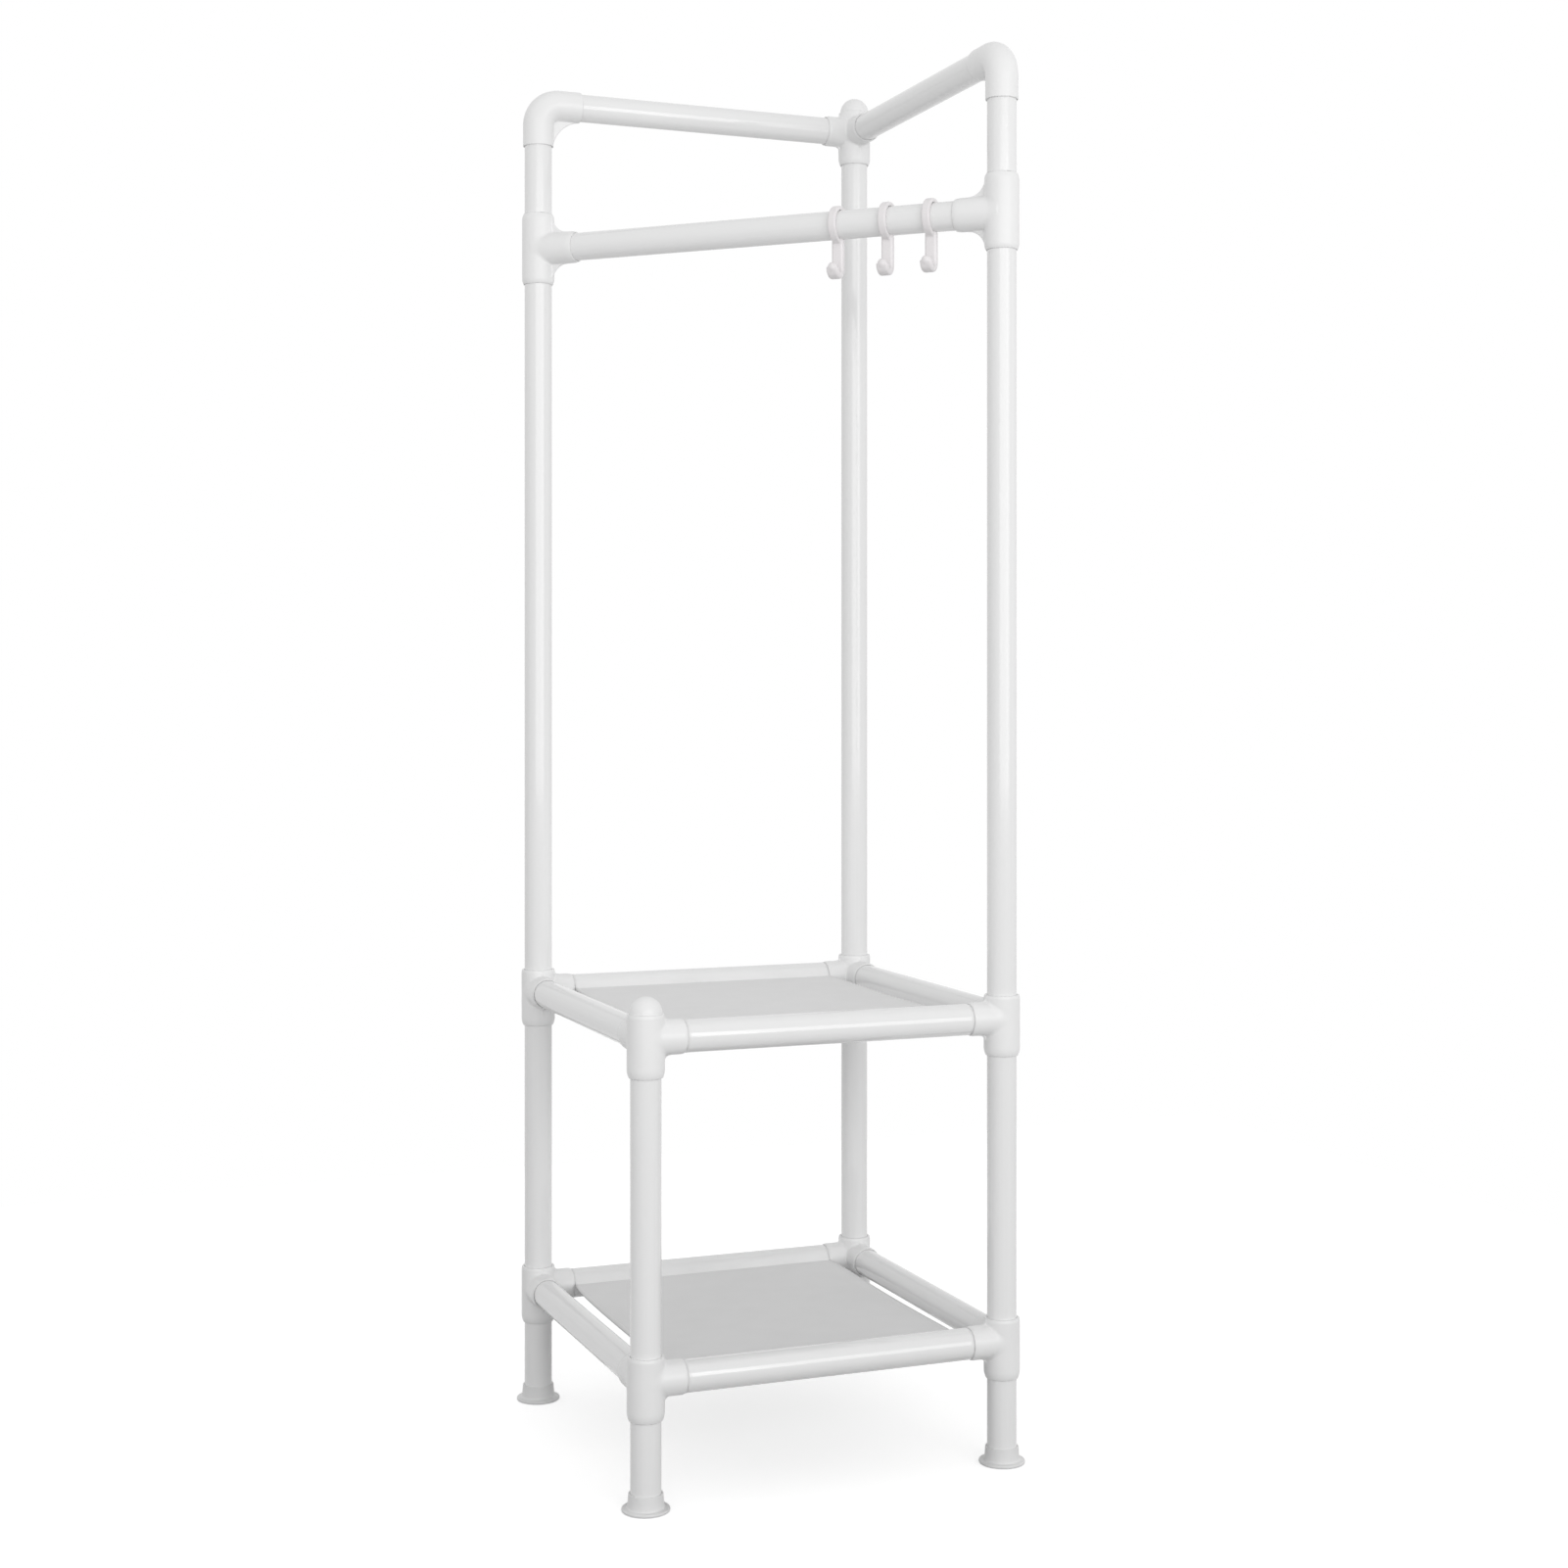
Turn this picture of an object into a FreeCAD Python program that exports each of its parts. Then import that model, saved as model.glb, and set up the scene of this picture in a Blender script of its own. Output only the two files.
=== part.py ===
import FreeCAD, Part
import Sketcher
import math
import os
import re

# Corner clothes rack: white plastic pipe pushed into moulded fittings, two cloth shelves and three hooks.
# Millimetres, +Z up. The origin is on the floor under the middle of the square base.
# The back right post stands in the room's corner, and the front left post is the short one.

SIZES = {
    # Base and heights: the lower shelf above the floor, then each level above the one below it
    "post_spacing": 404,
    "lower_shelf_height": 132,
    "upper_shelf_rise": 348,
    "hanging_bar_rise": 870,
    "top_rail_rise": 171,
    # Pipe and the sockets that it is pushed into
    "pipe_od": 32,
    "pipe_wall": 2,
    "socket_clearance": 0.1,
    "socket_depth": 22,
    "rim_length": 3,
    "rim_inset": 0.8,
    "web_thickness": 3,
    # Corner fitting: its walls, the stop beside the crossing pipe and the sleeve's head above its branches
    "corner_sleeve_wall": 3.4,
    "corner_branch_wall": 1.9,
    "corner_mouth_wall": 1.4,
    "corner_lip_length": 9,
    "corner_stop_gap": 2,
    "corner_head": 7,
    "corner_web_setback": 2,
    "corner_lower_web": 8,
    # Tee that carries the hanging bar
    "tee_sleeve_wall": 2.8,
    "tee_branch_wall": 2.3,
    "tee_mouth_wall": 0.8,
    "tee_branch_mouth_wall": 1.3,
    "tee_lip_length": 7,
    "tee_web_setback": 2.5,
    "tee_stop_gap": 3.5,
    "tee_branch_stop_gap": 13.5,
    # Elbow at the top of an outer post
    "elbow_wall": 1.7,
    "elbow_inner_bend": 7.2,
    "elbow_stop_gap": 3,
    "elbow_web_setback": 2.2,
    "elbow_web_bow": 37.5,
    # Dome plug
    "dome_overhang": 1.2,
    "dome_lip": 0.3,
    "dome_wall": 2,
    # Foot
    "foot_height": 18,
    "foot_floor": 3,
    "foot_cup_wall": 1.8,
    "foot_cup_base_wall": 2.9,
    "foot_flare": 2,
    "foot_flange_width": 6,
    "foot_flange_height": 3.4,
    "foot_flange_round": 1.4,
    # Shelf cloth
    "cloth_thickness": 0.8,
    "cloth_ease": 0.1,
    "cloth_end_gap": 0.5,
    # Hook, and the hooks' places: from the front right tee's mouth, then from one hook to the next
    "hook_clearance": 0.4,
    "hook_band": 4.8,
    "hook_band_width": 9,
    "hook_band_round": 1.6,
    "hook_back_end": 7,
    "hook_stem": 7.5,
    "hook_stem_width": 14,
    "hook_stem_round": 3,
    "hook_throat": 9,
    "hook_drop": 30.2,
    "hook_ball": 11,
    "right_hook_gap": 29.2,
    "middle_hook_spacing": 51,
    "left_hook_spacing": 59,
}

doc = FreeCAD.newDocument("corner_clothes_rack")
sheet = doc.addObject("Spreadsheet::Sheet", "Sizes")
for row, (name, value) in enumerate(SIZES.items(), start=1):
    sheet.set(f"A{row}", name)
    sheet.set(f"B{row}", str(value))
    sheet.setAlias(f"B{row}", name)
doc.recompute()

# Sizes worked out from the driving ones
PIPE_RADIUS = "(pipe_od / 2)"
BORE_RADIUS = "(pipe_od / 2 - pipe_wall)"
SOCKET_RADIUS = "(pipe_od / 2 + socket_clearance)"
HALF_SPACING = "(post_spacing / 2)"
LOWER_SHELF = "lower_shelf_height"
UPPER_SHELF = "(lower_shelf_height + upper_shelf_rise)"
HANGING_BAR = f"({UPPER_SHELF} + hanging_bar_rise)"
TOP_RAIL = f"({HANGING_BAR} + top_rail_rise)"
CORNER_BRANCH = f"({SOCKET_RADIUS} + corner_branch_wall)"
CORNER_STOP = f"({PIPE_RADIUS} + corner_stop_gap)"
CORNER_REACH = f"({CORNER_STOP} + socket_depth)"
CORNER_RISE = f"({CORNER_BRANCH} + corner_head)"
CORNER_TOP_STOP = f"({CORNER_RISE} - socket_depth)"
TEE_STOP = f"({PIPE_RADIUS} + tee_stop_gap)"
TEE_HALF_HEIGHT = f"({TEE_STOP} + socket_depth)"
TEE_BRANCH_STOP = f"({PIPE_RADIUS} + tee_branch_stop_gap)"
TEE_REACH = f"({TEE_BRANCH_STOP} + socket_depth)"
ELBOW_SIDE = f"({SOCKET_RADIUS} + elbow_wall)"
ELBOW_BEND = f"({ELBOW_SIDE} + elbow_inner_bend)"
ELBOW_STOP = f"({ELBOW_BEND} + elbow_stop_gap)"
ELBOW_REACH = f"({ELBOW_STOP} + socket_depth)"
BAR_HALF_SPAN = "(post_spacing / sqrt(2))"
RIGHT_HOOK = f"({BAR_HALF_SPAN} - {TEE_REACH} - right_hook_gap)"
MIDDLE_HOOK = f"({RIGHT_HOOK} - middle_hook_spacing)"
LEFT_HOOK = f"({MIDDLE_HOOK} - left_hook_spacing)"

parts = []


def bound(expression):
    """The expression with each size's name pointing at its cell in the sheet."""
    return re.sub(r"[a-z]\w*", lambda word: "Sizes." + word[0] if word[0] in SIZES else word[0], expression)


def number(expression):
    """What the expression comes to with the present sizes."""
    return float(sheet.evalExpression(bound(expression)))


def new_part(label, place=("0", "0", "0"), turn=FreeCAD.Rotation()):
    """Empty body with its label, the expressions of its place and its turn."""
    body = doc.addObject("PartDesign::Body", label)
    body.Label = label
    body.Placement = FreeCAD.Placement(FreeCAD.Vector(*[number(value) for value in place]), turn)
    for axis, value in zip("xyz", place):
        body.setExpression(f"Placement.Base.{axis}", bound(value))
    parts.append(body)
    return body


def new_sketch(body, plane):
    """Empty sketch on one of the body's own planes: XY_Plane, XZ_Plane or YZ_Plane."""
    sketch = body.newObject("Sketcher::SketchObject", body.Label + "_sketch")
    support = next(feature for feature in body.Origin.OriginFeatures if feature.Role == plane)
    sketch.AttachmentSupport = [(support, "")]
    sketch.MapMode = "FlatFace"
    return sketch


def constrain(sketch, kind, *where, value):
    """Dimension of the sketch that follows an expression."""
    index = sketch.addConstraint(Sketcher.Constraint(kind, *where, number(value)))
    sketch.setExpression(f"Constraints[{index}]", bound(value))


def arc_between(start, end, radius, turn):
    """Arc from start to end of under a half circle; turn is +1 anticlockwise and -1 clockwise."""
    chord = end - start
    middle = (start + end) * 0.5
    height = math.sqrt(max(radius ** 2 - (chord.Length / 2) ** 2, 0))
    square = FreeCAD.Vector(-chord.y, chord.x, 0).normalize()
    centre = middle + square * height * turn
    first, last = (start, end) if turn > 0 else (end, start)
    angles = [math.atan2(point.y - centre.y, point.x - centre.x) for point in (first, last)]
    return Part.ArcOfCircle(Part.Circle(centre, FreeCAD.Vector(0, 0, 1), radius), *angles)


def draw(sketch, points, closed=True):
    """Run of lines and arcs through points, each given by the expressions of its two coordinates.

    A point with two more entries, a radius and a turn, starts an arc instead of a line.
    """
    places = [FreeCAD.Vector(number(point[0]), number(point[1]), 0) for point in points]
    ends = []
    sides = len(points) if closed else len(points) - 1
    for index in range(sides):
        start = places[index]
        end = places[(index + 1) % len(points)]
        if len(points[index]) == 2:
            ends.append((sketch.addGeometry(Part.LineSegment(start, end), False), 1, 2))
            continue
        radius, turn = points[index][2:]
        arc = sketch.addGeometry(arc_between(start, end, number(radius), turn), False)
        ends.append((arc, 1, 2) if turn > 0 else (arc, 2, 1))
        constrain(sketch, "Radius", arc, value=radius)
    for index, (edge, first, last) in enumerate(ends):
        constrain(sketch, "DistanceX", -1, 1, edge, first, value=points[index][0])
        constrain(sketch, "DistanceY", -1, 1, edge, first, value=points[index][1])
        if index + 1 < sides or closed:
            following, start_of_next, _ = ends[(index + 1) % sides]
            sketch.addConstraint(Sketcher.Constraint("Coincident", edge, last, following, start_of_next))
    if not closed:
        edge, _, last = ends[-1]
        constrain(sketch, "DistanceX", -1, 1, edge, last, value=points[-1][0])
        constrain(sketch, "DistanceY", -1, 1, edge, last, value=points[-1][1])
    return sketch


def draw_circle(sketch, radius, centre=("0", "0")):
    """Circle whose radius and centre follow expressions."""
    middle = FreeCAD.Vector(number(centre[0]), number(centre[1]), 0)
    circle = sketch.addGeometry(Part.Circle(middle, FreeCAD.Vector(0, 0, 1), number(radius)), False)
    constrain(sketch, "Radius", circle, value=radius)
    constrain(sketch, "DistanceX", -1, 1, circle, 3, value=centre[0])
    constrain(sketch, "DistanceY", -1, 1, circle, 3, value=centre[1])
    return sketch


def turned(body, kind, plane, axis, points, origin=None):
    """Full turn of an outline about the sketch's H_Axis or V_Axis; kind is Revolution or Groove.

    A sketch with an origin of its own, given by two expressions, is moved there in its plane.
    """
    sketch = draw(new_sketch(body, plane), points)
    if origin:
        sketch.setExpression("AttachmentOffset.Base.x", bound(origin[0]))
        sketch.setExpression("AttachmentOffset.Base.y", bound(origin[1]))
    feature = body.newObject("PartDesign::" + kind, f"{body.Label}_{kind}")
    feature.Profile = sketch
    feature.ReferenceAxis = (sketch, [axis])
    feature.Angle = 360
    return feature


def padded(body, sketch, length, both_ways=False):
    """Pad of a sketch, along its plane's normal or to both sides of the plane."""
    feature = body.newObject("PartDesign::Pad", body.Label + "_pad")
    feature.Profile = sketch
    feature.SideType = "Symmetric" if both_ways else "One side"
    feature.setExpression("Length", bound(length))
    return feature


def lip_radius(length, inset):
    """Radius of the arc that leaves a straight side smoothly and draws in by inset over length."""
    return f"(({length}) ^ 2 + ({inset}) ^ 2) / (2 * {inset})"


# Pipes, cut to length


def pipe(label, length, place, turn=FreeCAD.Rotation()):
    """Length of extruded pipe that starts at place and runs along its turned Z axis."""
    body = new_part(label, place, turn)
    ring = draw_circle(new_sketch(body, "XY_Plane"), PIPE_RADIUS)
    draw_circle(ring, BORE_RADIUS)
    padded(body, ring, length)


# Corner fitting: a sleeve for the post with two branches along +X and +Y at its middle


def corner_fitting(label, place, quarter_turns):
    """Moulded sleeve with a rounded lower lip, webs beside both branches and a stop in every socket."""
    body = new_part(label, place, FreeCAD.Rotation(FreeCAD.Vector(0, 0, 1), 90 * quarter_turns))
    sleeve = f"({SOCKET_RADIUS} + corner_sleeve_wall)"
    mouth = f"({SOCKET_RADIUS} + corner_mouth_wall)"
    lip = lip_radius("corner_lip_length", "(corner_sleeve_wall - corner_mouth_wall)")
    turned(body, "Revolution", "XZ_Plane", "V_Axis", [
        ("0", f"-{CORNER_REACH}"),
        (mouth, f"-{CORNER_REACH}", lip, 1),
        (sleeve, f"corner_lip_length - {CORNER_REACH}"),
        (sleeve, f"{CORNER_RISE} - rim_length"),
        (f"{sleeve} - rim_inset", CORNER_RISE),
        ("0", CORNER_RISE),
    ])
    upper_web = "(corner_head - corner_web_setback)"
    web = [
        ("0", f"-{CORNER_BRANCH} - corner_lower_web"),
        (sleeve, f"-{CORNER_BRANCH} - corner_lower_web", "corner_lower_web", -1),
        (f"{sleeve} + corner_lower_web", f"-{CORNER_BRANCH}"),
        (f"{sleeve} + {upper_web}", CORNER_BRANCH, upper_web, -1),
        (sleeve, f"{CORNER_BRANCH} + {upper_web}"),
        ("0", f"{CORNER_BRANCH} + {upper_web}"),
    ]
    branch_socket = [
        ("0", "0"),
        (CORNER_REACH, "0"),
        (CORNER_REACH, SOCKET_RADIUS),
        (CORNER_STOP, SOCKET_RADIUS),
        (CORNER_STOP, BORE_RADIUS),
        ("0", BORE_RADIUS),
    ]
    for plane in ("XZ_Plane", "YZ_Plane"):
        turned(body, "Revolution", plane, "H_Axis", [
            ("0", "0"),
            (CORNER_REACH, "0"),
            (CORNER_REACH, f"{CORNER_BRANCH} - rim_inset"),
            (f"{CORNER_REACH} - rim_length", CORNER_BRANCH),
            ("0", CORNER_BRANCH),
        ])
        padded(body, draw(new_sketch(body, plane), web), "web_thickness", both_ways=True)
    turned(body, "Groove", "XZ_Plane", "V_Axis", [
        ("0", f"-{CORNER_REACH}"),
        (SOCKET_RADIUS, f"-{CORNER_REACH}"),
        (SOCKET_RADIUS, f"-{CORNER_STOP}"),
        (BORE_RADIUS, f"-{CORNER_STOP}"),
        (BORE_RADIUS, CORNER_TOP_STOP),
        (SOCKET_RADIUS, CORNER_TOP_STOP),
        (SOCKET_RADIUS, CORNER_RISE),
        ("0", CORNER_RISE),
    ])
    for plane in ("XZ_Plane", "YZ_Plane"):
        turned(body, "Groove", plane, "H_Axis", branch_socket)


# Tee: a sleeve for the post with one branch along +X


def tee(label, place, degrees):
    """Moulded tee with rounded lips on all three mouths and a web above and below its branch."""
    body = new_part(label, place, FreeCAD.Rotation(FreeCAD.Vector(0, 0, 1), degrees))
    sleeve = f"({SOCKET_RADIUS} + tee_sleeve_wall)"
    sleeve_mouth = f"({SOCKET_RADIUS} + tee_mouth_wall)"
    sleeve_lip = lip_radius("tee_lip_length", "(tee_sleeve_wall - tee_mouth_wall)")
    branch = f"({SOCKET_RADIUS} + tee_branch_wall)"
    branch_mouth = f"({SOCKET_RADIUS} + tee_branch_mouth_wall)"
    branch_lip = lip_radius("tee_lip_length", "(tee_branch_wall - tee_branch_mouth_wall)")
    lip_start = f"({TEE_HALF_HEIGHT} - tee_lip_length)"
    turned(body, "Revolution", "XZ_Plane", "V_Axis", [
        ("0", f"-{TEE_HALF_HEIGHT}"),
        (sleeve_mouth, f"-{TEE_HALF_HEIGHT}", sleeve_lip, 1),
        (sleeve, f"-{lip_start}"),
        (sleeve, lip_start, sleeve_lip, 1),
        (sleeve_mouth, TEE_HALF_HEIGHT),
        ("0", TEE_HALF_HEIGHT),
    ])
    turned(body, "Revolution", "XZ_Plane", "H_Axis", [
        ("0", "0"),
        (TEE_REACH, "0"),
        (TEE_REACH, branch_mouth, branch_lip, 1),
        (f"{TEE_REACH} - tee_lip_length", branch),
        ("0", branch),
    ])
    web_end = f"({TEE_HALF_HEIGHT} - tee_web_setback)"
    web = f"({web_end} - {branch})"
    padded(body, draw(new_sketch(body, "XZ_Plane"), [
        ("0", f"-{web_end}"),
        (sleeve, f"-{web_end}", web, -1),
        (f"{sleeve} + {web}", f"-{branch}"),
        (f"{sleeve} + {web}", branch, web, -1),
        (sleeve, web_end),
        ("0", web_end),
    ]), "web_thickness", both_ways=True)
    turned(body, "Groove", "XZ_Plane", "V_Axis", [
        ("0", f"-{TEE_HALF_HEIGHT}"),
        (SOCKET_RADIUS, f"-{TEE_HALF_HEIGHT}"),
        (SOCKET_RADIUS, f"-{TEE_STOP}"),
        (BORE_RADIUS, f"-{TEE_STOP}"),
        (BORE_RADIUS, TEE_STOP),
        (SOCKET_RADIUS, TEE_STOP),
        (SOCKET_RADIUS, TEE_HALF_HEIGHT),
        ("0", TEE_HALF_HEIGHT),
    ])
    turned(body, "Groove", "XZ_Plane", "H_Axis", [
        ("0", "0"),
        (TEE_REACH, "0"),
        (TEE_REACH, SOCKET_RADIUS),
        (TEE_BRANCH_STOP, SOCKET_RADIUS),
        (TEE_BRANCH_STOP, BORE_RADIUS),
        ("0", BORE_RADIUS),
    ])


# Elbow: a round bend from the post below to a rail along +X


def swept(body, kind, draw_section, points):
    """Section carried along a path in the XZ plane that leaves its first point straight up or down."""
    path = draw(new_sketch(body, "XZ_Plane"), points, closed=False)
    section = new_sketch(body, "XY_Plane")
    draw_section(section)
    section.setExpression("AttachmentOffset.Base.x", bound(points[0][0]))
    section.setExpression("AttachmentOffset.Base.z", bound(points[0][1]))
    feature = body.newObject("PartDesign::" + kind, f"{body.Label}_{kind}")
    feature.Profile = section
    feature.Spine = path
    return feature


def elbow(label, place, degrees):
    """Bend with a socket at each end and a thin web across its inner corner."""
    body = new_part(label, place, FreeCAD.Rotation(FreeCAD.Vector(0, 0, 1), degrees))
    bend = [
        ("0", f"-{ELBOW_REACH}"),
        ("0", f"-{ELBOW_BEND}", ELBOW_BEND, -1),
        (ELBOW_BEND, "0"),
        (ELBOW_REACH, "0"),
    ]
    swept(body, "AdditivePipe", lambda section: draw_circle(section, ELBOW_SIDE), bend)
    web_end = f"({ELBOW_REACH} - elbow_web_setback)"
    padded(body, draw(new_sketch(body, "XZ_Plane"), [
        ("0", f"-{web_end}"),
        (ELBOW_SIDE, f"-{web_end}", "elbow_web_bow", -1),
        (web_end, f"-{ELBOW_SIDE}"),
        (web_end, "0"),
        (ELBOW_BEND, "0", ELBOW_BEND, 1),
        ("0", f"-{ELBOW_BEND}"),
    ]), "web_thickness", both_ways=True)
    swept(body, "SubtractivePipe", lambda section: draw_circle(section, BORE_RADIUS), bend)
    mouth = [
        (ELBOW_STOP, "0"),
        (ELBOW_REACH, "0"),
        (ELBOW_REACH, SOCKET_RADIUS),
        (ELBOW_STOP, SOCKET_RADIUS),
    ]
    turned(body, "Groove", "XZ_Plane", "H_Axis", mouth)
    turned(body, "Groove", "XZ_Plane", "V_Axis", [(across, f"-{along}") for along, across in mouth])


# Dome plug: a hollow cap on a stem of the pipe's own size that closes a sleeve's upper socket


def dome_plug(label, place):
    """Turned shell: a stem down to the socket's stop, and a half ball that lies on the sleeve's rim."""
    body = new_part(label, place)
    spring = f"({CORNER_RISE} + dome_lip)"
    inner = f"({PIPE_RADIUS} - dome_wall)"
    dome = f"({PIPE_RADIUS} + dome_overhang)"
    turned(body, "Revolution", "XZ_Plane", "V_Axis", [
        (inner, CORNER_TOP_STOP),
        (PIPE_RADIUS, CORNER_TOP_STOP),
        (PIPE_RADIUS, CORNER_RISE),
        (dome, CORNER_RISE),
        (dome, spring, dome, 1),
        ("0", f"{spring} + {dome}"),
        ("0", f"{spring} + {inner}", inner, -1),
        (inner, spring),
    ])


# Foot: a cup for the leg on a wide flange


def foot(label, place):
    """Turned cup with a coned side that flares out to a thin flange, and a floor under the pipe."""
    body = new_part(label, place)
    cup_base = f"({SOCKET_RADIUS} + foot_cup_base_wall)"
    flange = f"({cup_base} + foot_flange_width)"
    turned(body, "Revolution", "XZ_Plane", "V_Axis", [
        ("0", "0"),
        (f"{flange} - foot_flange_round", "0", "foot_flange_round", 1),
        (flange, "foot_flange_round"),
        (flange, "foot_flange_height - foot_flange_round", "foot_flange_round", 1),
        (f"{flange} - foot_flange_round", "foot_flange_height"),
        (f"{cup_base} + foot_flare", "foot_flange_height", "foot_flare", -1),
        (cup_base, "foot_flange_height + foot_flare"),
        (f"{SOCKET_RADIUS} + foot_cup_wall", "foot_height"),
        (SOCKET_RADIUS, "foot_height"),
        (SOCKET_RADIUS, "foot_floor"),
        ("0", "foot_floor"),
    ])


# Shelf cloth: one sheet with a pocket sewn round the front rail and another round the back rail


def shelf_cloth(label, height):
    """Sheet at the rails' middle height, between two pockets that reach almost from fitting to fitting."""
    body = new_part(label, ("0", "0", height))
    inner = f"({PIPE_RADIUS} + cloth_ease)"
    outer = f"({PIPE_RADIUS} + cloth_ease + cloth_thickness)"
    face = "cloth_thickness / 2"
    seam = f"{HALF_SPACING} - sqrt({outer} ^ 2 - ({face}) ^ 2)"
    far = f"({HALF_SPACING} + {outer})"
    section = draw(new_sketch(body, "YZ_Plane"), [
        (f"-({seam})", f"-{face}"),
        (seam, f"-{face}", outer, 1),
        (far, "0", outer, 1),
        (seam, face),
        (f"-({seam})", face, outer, 1),
        (f"-{far}", "0", outer, 1),
    ])
    draw_circle(section, inner, (HALF_SPACING, "0"))
    draw_circle(section, inner, (f"-{HALF_SPACING}", "0"))
    padded(body, section, f"post_spacing - 2 * ({CORNER_REACH} + cloth_end_gap)", both_ways=True)


# Hook: a band over the bar, with a stem below that turns up in front and ends in a ball


def draw_rounded_oblong(sketch, depth, width, corner):
    """Oblong about the sketch's origin with rounded corners."""
    side = f"({depth} / 2)"
    end = f"({width} / 2)"
    draw(sketch, [
        (f"-{side} + {corner}", f"-{end}"),
        (f"{side} - {corner}", f"-{end}", corner, 1),
        (side, f"-{end} + {corner}"),
        (side, f"{end} - {corner}", corner, 1),
        (f"{side} - {corner}", end),
        (f"-{side} + {corner}", end, corner, 1),
        (f"-{side}", f"{end} - {corner}"),
        (f"-{side}", f"-{end} + {corner}", corner, 1),
    ])


def hook(label, along):
    """Moulded hook, drawn in the plane across the bar: the first axis points to the rack's front."""
    place = (f"{along} / sqrt(2)", f"-{along} / sqrt(2)", HANGING_BAR)
    body = new_part(label, place, FreeCAD.Rotation(FreeCAD.Vector(0, 0, 1), 225))
    loop = f"({PIPE_RADIUS} + hook_clearance + hook_band / 2)"
    stem_end = f"({loop} + hook_drop)"
    turn_up = "(hook_throat / 2 + hook_stem / 2)"
    swept(body, "AdditivePipe",
          lambda section: draw_rounded_oblong(section, "hook_band", "hook_band_width", "hook_band_round"),
          [
              (f"-{loop}", "-hook_back_end"),
              (f"-{loop}", "0", loop, -1),
              ("0", loop, loop, -1),
              (loop, "0", loop, -1),
              ("0", f"-{loop}"),
          ])
    swept(body, "AdditivePipe",
          lambda section: draw_rounded_oblong(section, "hook_stem", "hook_stem_width", "hook_stem_round"),
          [
              ("0", f"-{loop}"),
              ("0", f"-{stem_end}", turn_up, 1),
              (turn_up, f"-{stem_end} - {turn_up}", turn_up, 1),
              (f"2 * {turn_up}", f"-{stem_end}"),
          ])
    turned(body, "Revolution", "XZ_Plane", "V_Axis", [
        ("0", "-hook_ball / 2", "hook_ball / 2", 1),
        ("hook_ball / 2", "0", "hook_ball / 2", 1),
        ("0", "hook_ball / 2"),
    ], origin=(f"2 * {turn_up}", f"-{stem_end}"))


# Assembly: the places of the posts, with the quarter turns that point a corner fitting's branches inwards

LEFT = f"-{HALF_SPACING}"
RIGHT = HALF_SPACING
FRONT = f"-{HALF_SPACING}"
BACK = HALF_SPACING
POSTS = {
    "front_left": (LEFT, FRONT, 0),
    "front_right": (RIGHT, FRONT, 1),
    "back_right": (RIGHT, BACK, 2),
    "back_left": (LEFT, BACK, 3),
}
ALONG_X = FreeCAD.Rotation(FreeCAD.Vector(0, 0, 1), FreeCAD.Vector(1, 0, 0))
ALONG_Y = FreeCAD.Rotation(FreeCAD.Vector(0, 0, 1), FreeCAD.Vector(0, 1, 0))
ALONG_BAR = FreeCAD.Rotation(FreeCAD.Vector(0, 0, 1), FreeCAD.Vector(1, -1, 0))

# Feet, legs and the posts between the two shelves

for post, (x, y, quarter_turns) in POSTS.items():
    foot(f"{post}_foot", (x, y, "0"))
    pipe(f"{post}_leg", f"{LOWER_SHELF} - {CORNER_STOP} - foot_floor", (x, y, "foot_floor"))
    corner_fitting(f"{post}_lower_corner", (x, y, LOWER_SHELF), quarter_turns)
    pipe(f"{post}_shelf_post", f"upper_shelf_rise - {CORNER_STOP} - {CORNER_TOP_STOP}",
         (x, y, f"{LOWER_SHELF} + {CORNER_TOP_STOP}"))
    corner_fitting(f"{post}_upper_corner", (x, y, UPPER_SHELF), quarter_turns)

# Shelf rails and cloths

SHELF_RAIL_START = f"{CORNER_STOP} - {HALF_SPACING}"
SHELF_RAIL_LENGTH = f"post_spacing - 2 * {CORNER_STOP}"
for shelf, height in (("lower", LOWER_SHELF), ("upper", UPPER_SHELF)):
    pipe(f"{shelf}_front_rail", SHELF_RAIL_LENGTH, (SHELF_RAIL_START, FRONT, height), ALONG_X)
    pipe(f"{shelf}_back_rail", SHELF_RAIL_LENGTH, (SHELF_RAIL_START, BACK, height), ALONG_X)
    pipe(f"{shelf}_left_rail", SHELF_RAIL_LENGTH, (LEFT, SHELF_RAIL_START, height), ALONG_Y)
    pipe(f"{shelf}_right_rail", SHELF_RAIL_LENGTH, (RIGHT, SHELF_RAIL_START, height), ALONG_Y)
    shelf_cloth(f"{shelf}_shelf_cloth", height)

# Outer posts, each with a tee for the hanging bar and an elbow for its top rail

for post, tee_degrees, elbow_degrees in (("back_left", -45, 0), ("front_right", 135, 90)):
    x, y, _ = POSTS[post]
    pipe(f"{post}_tall_post", f"hanging_bar_rise - {TEE_STOP} - {CORNER_TOP_STOP}",
         (x, y, f"{UPPER_SHELF} + {CORNER_TOP_STOP}"))
    tee(f"{post}_tee", (x, y, HANGING_BAR), tee_degrees)
    pipe(f"{post}_top_post", f"top_rail_rise - {ELBOW_STOP} - {TEE_STOP}",
         (x, y, f"{HANGING_BAR} + {TEE_STOP}"))
    elbow(f"{post}_elbow", (x, y, TOP_RAIL), elbow_degrees)

# Corner post, top rails and hanging bar

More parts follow.
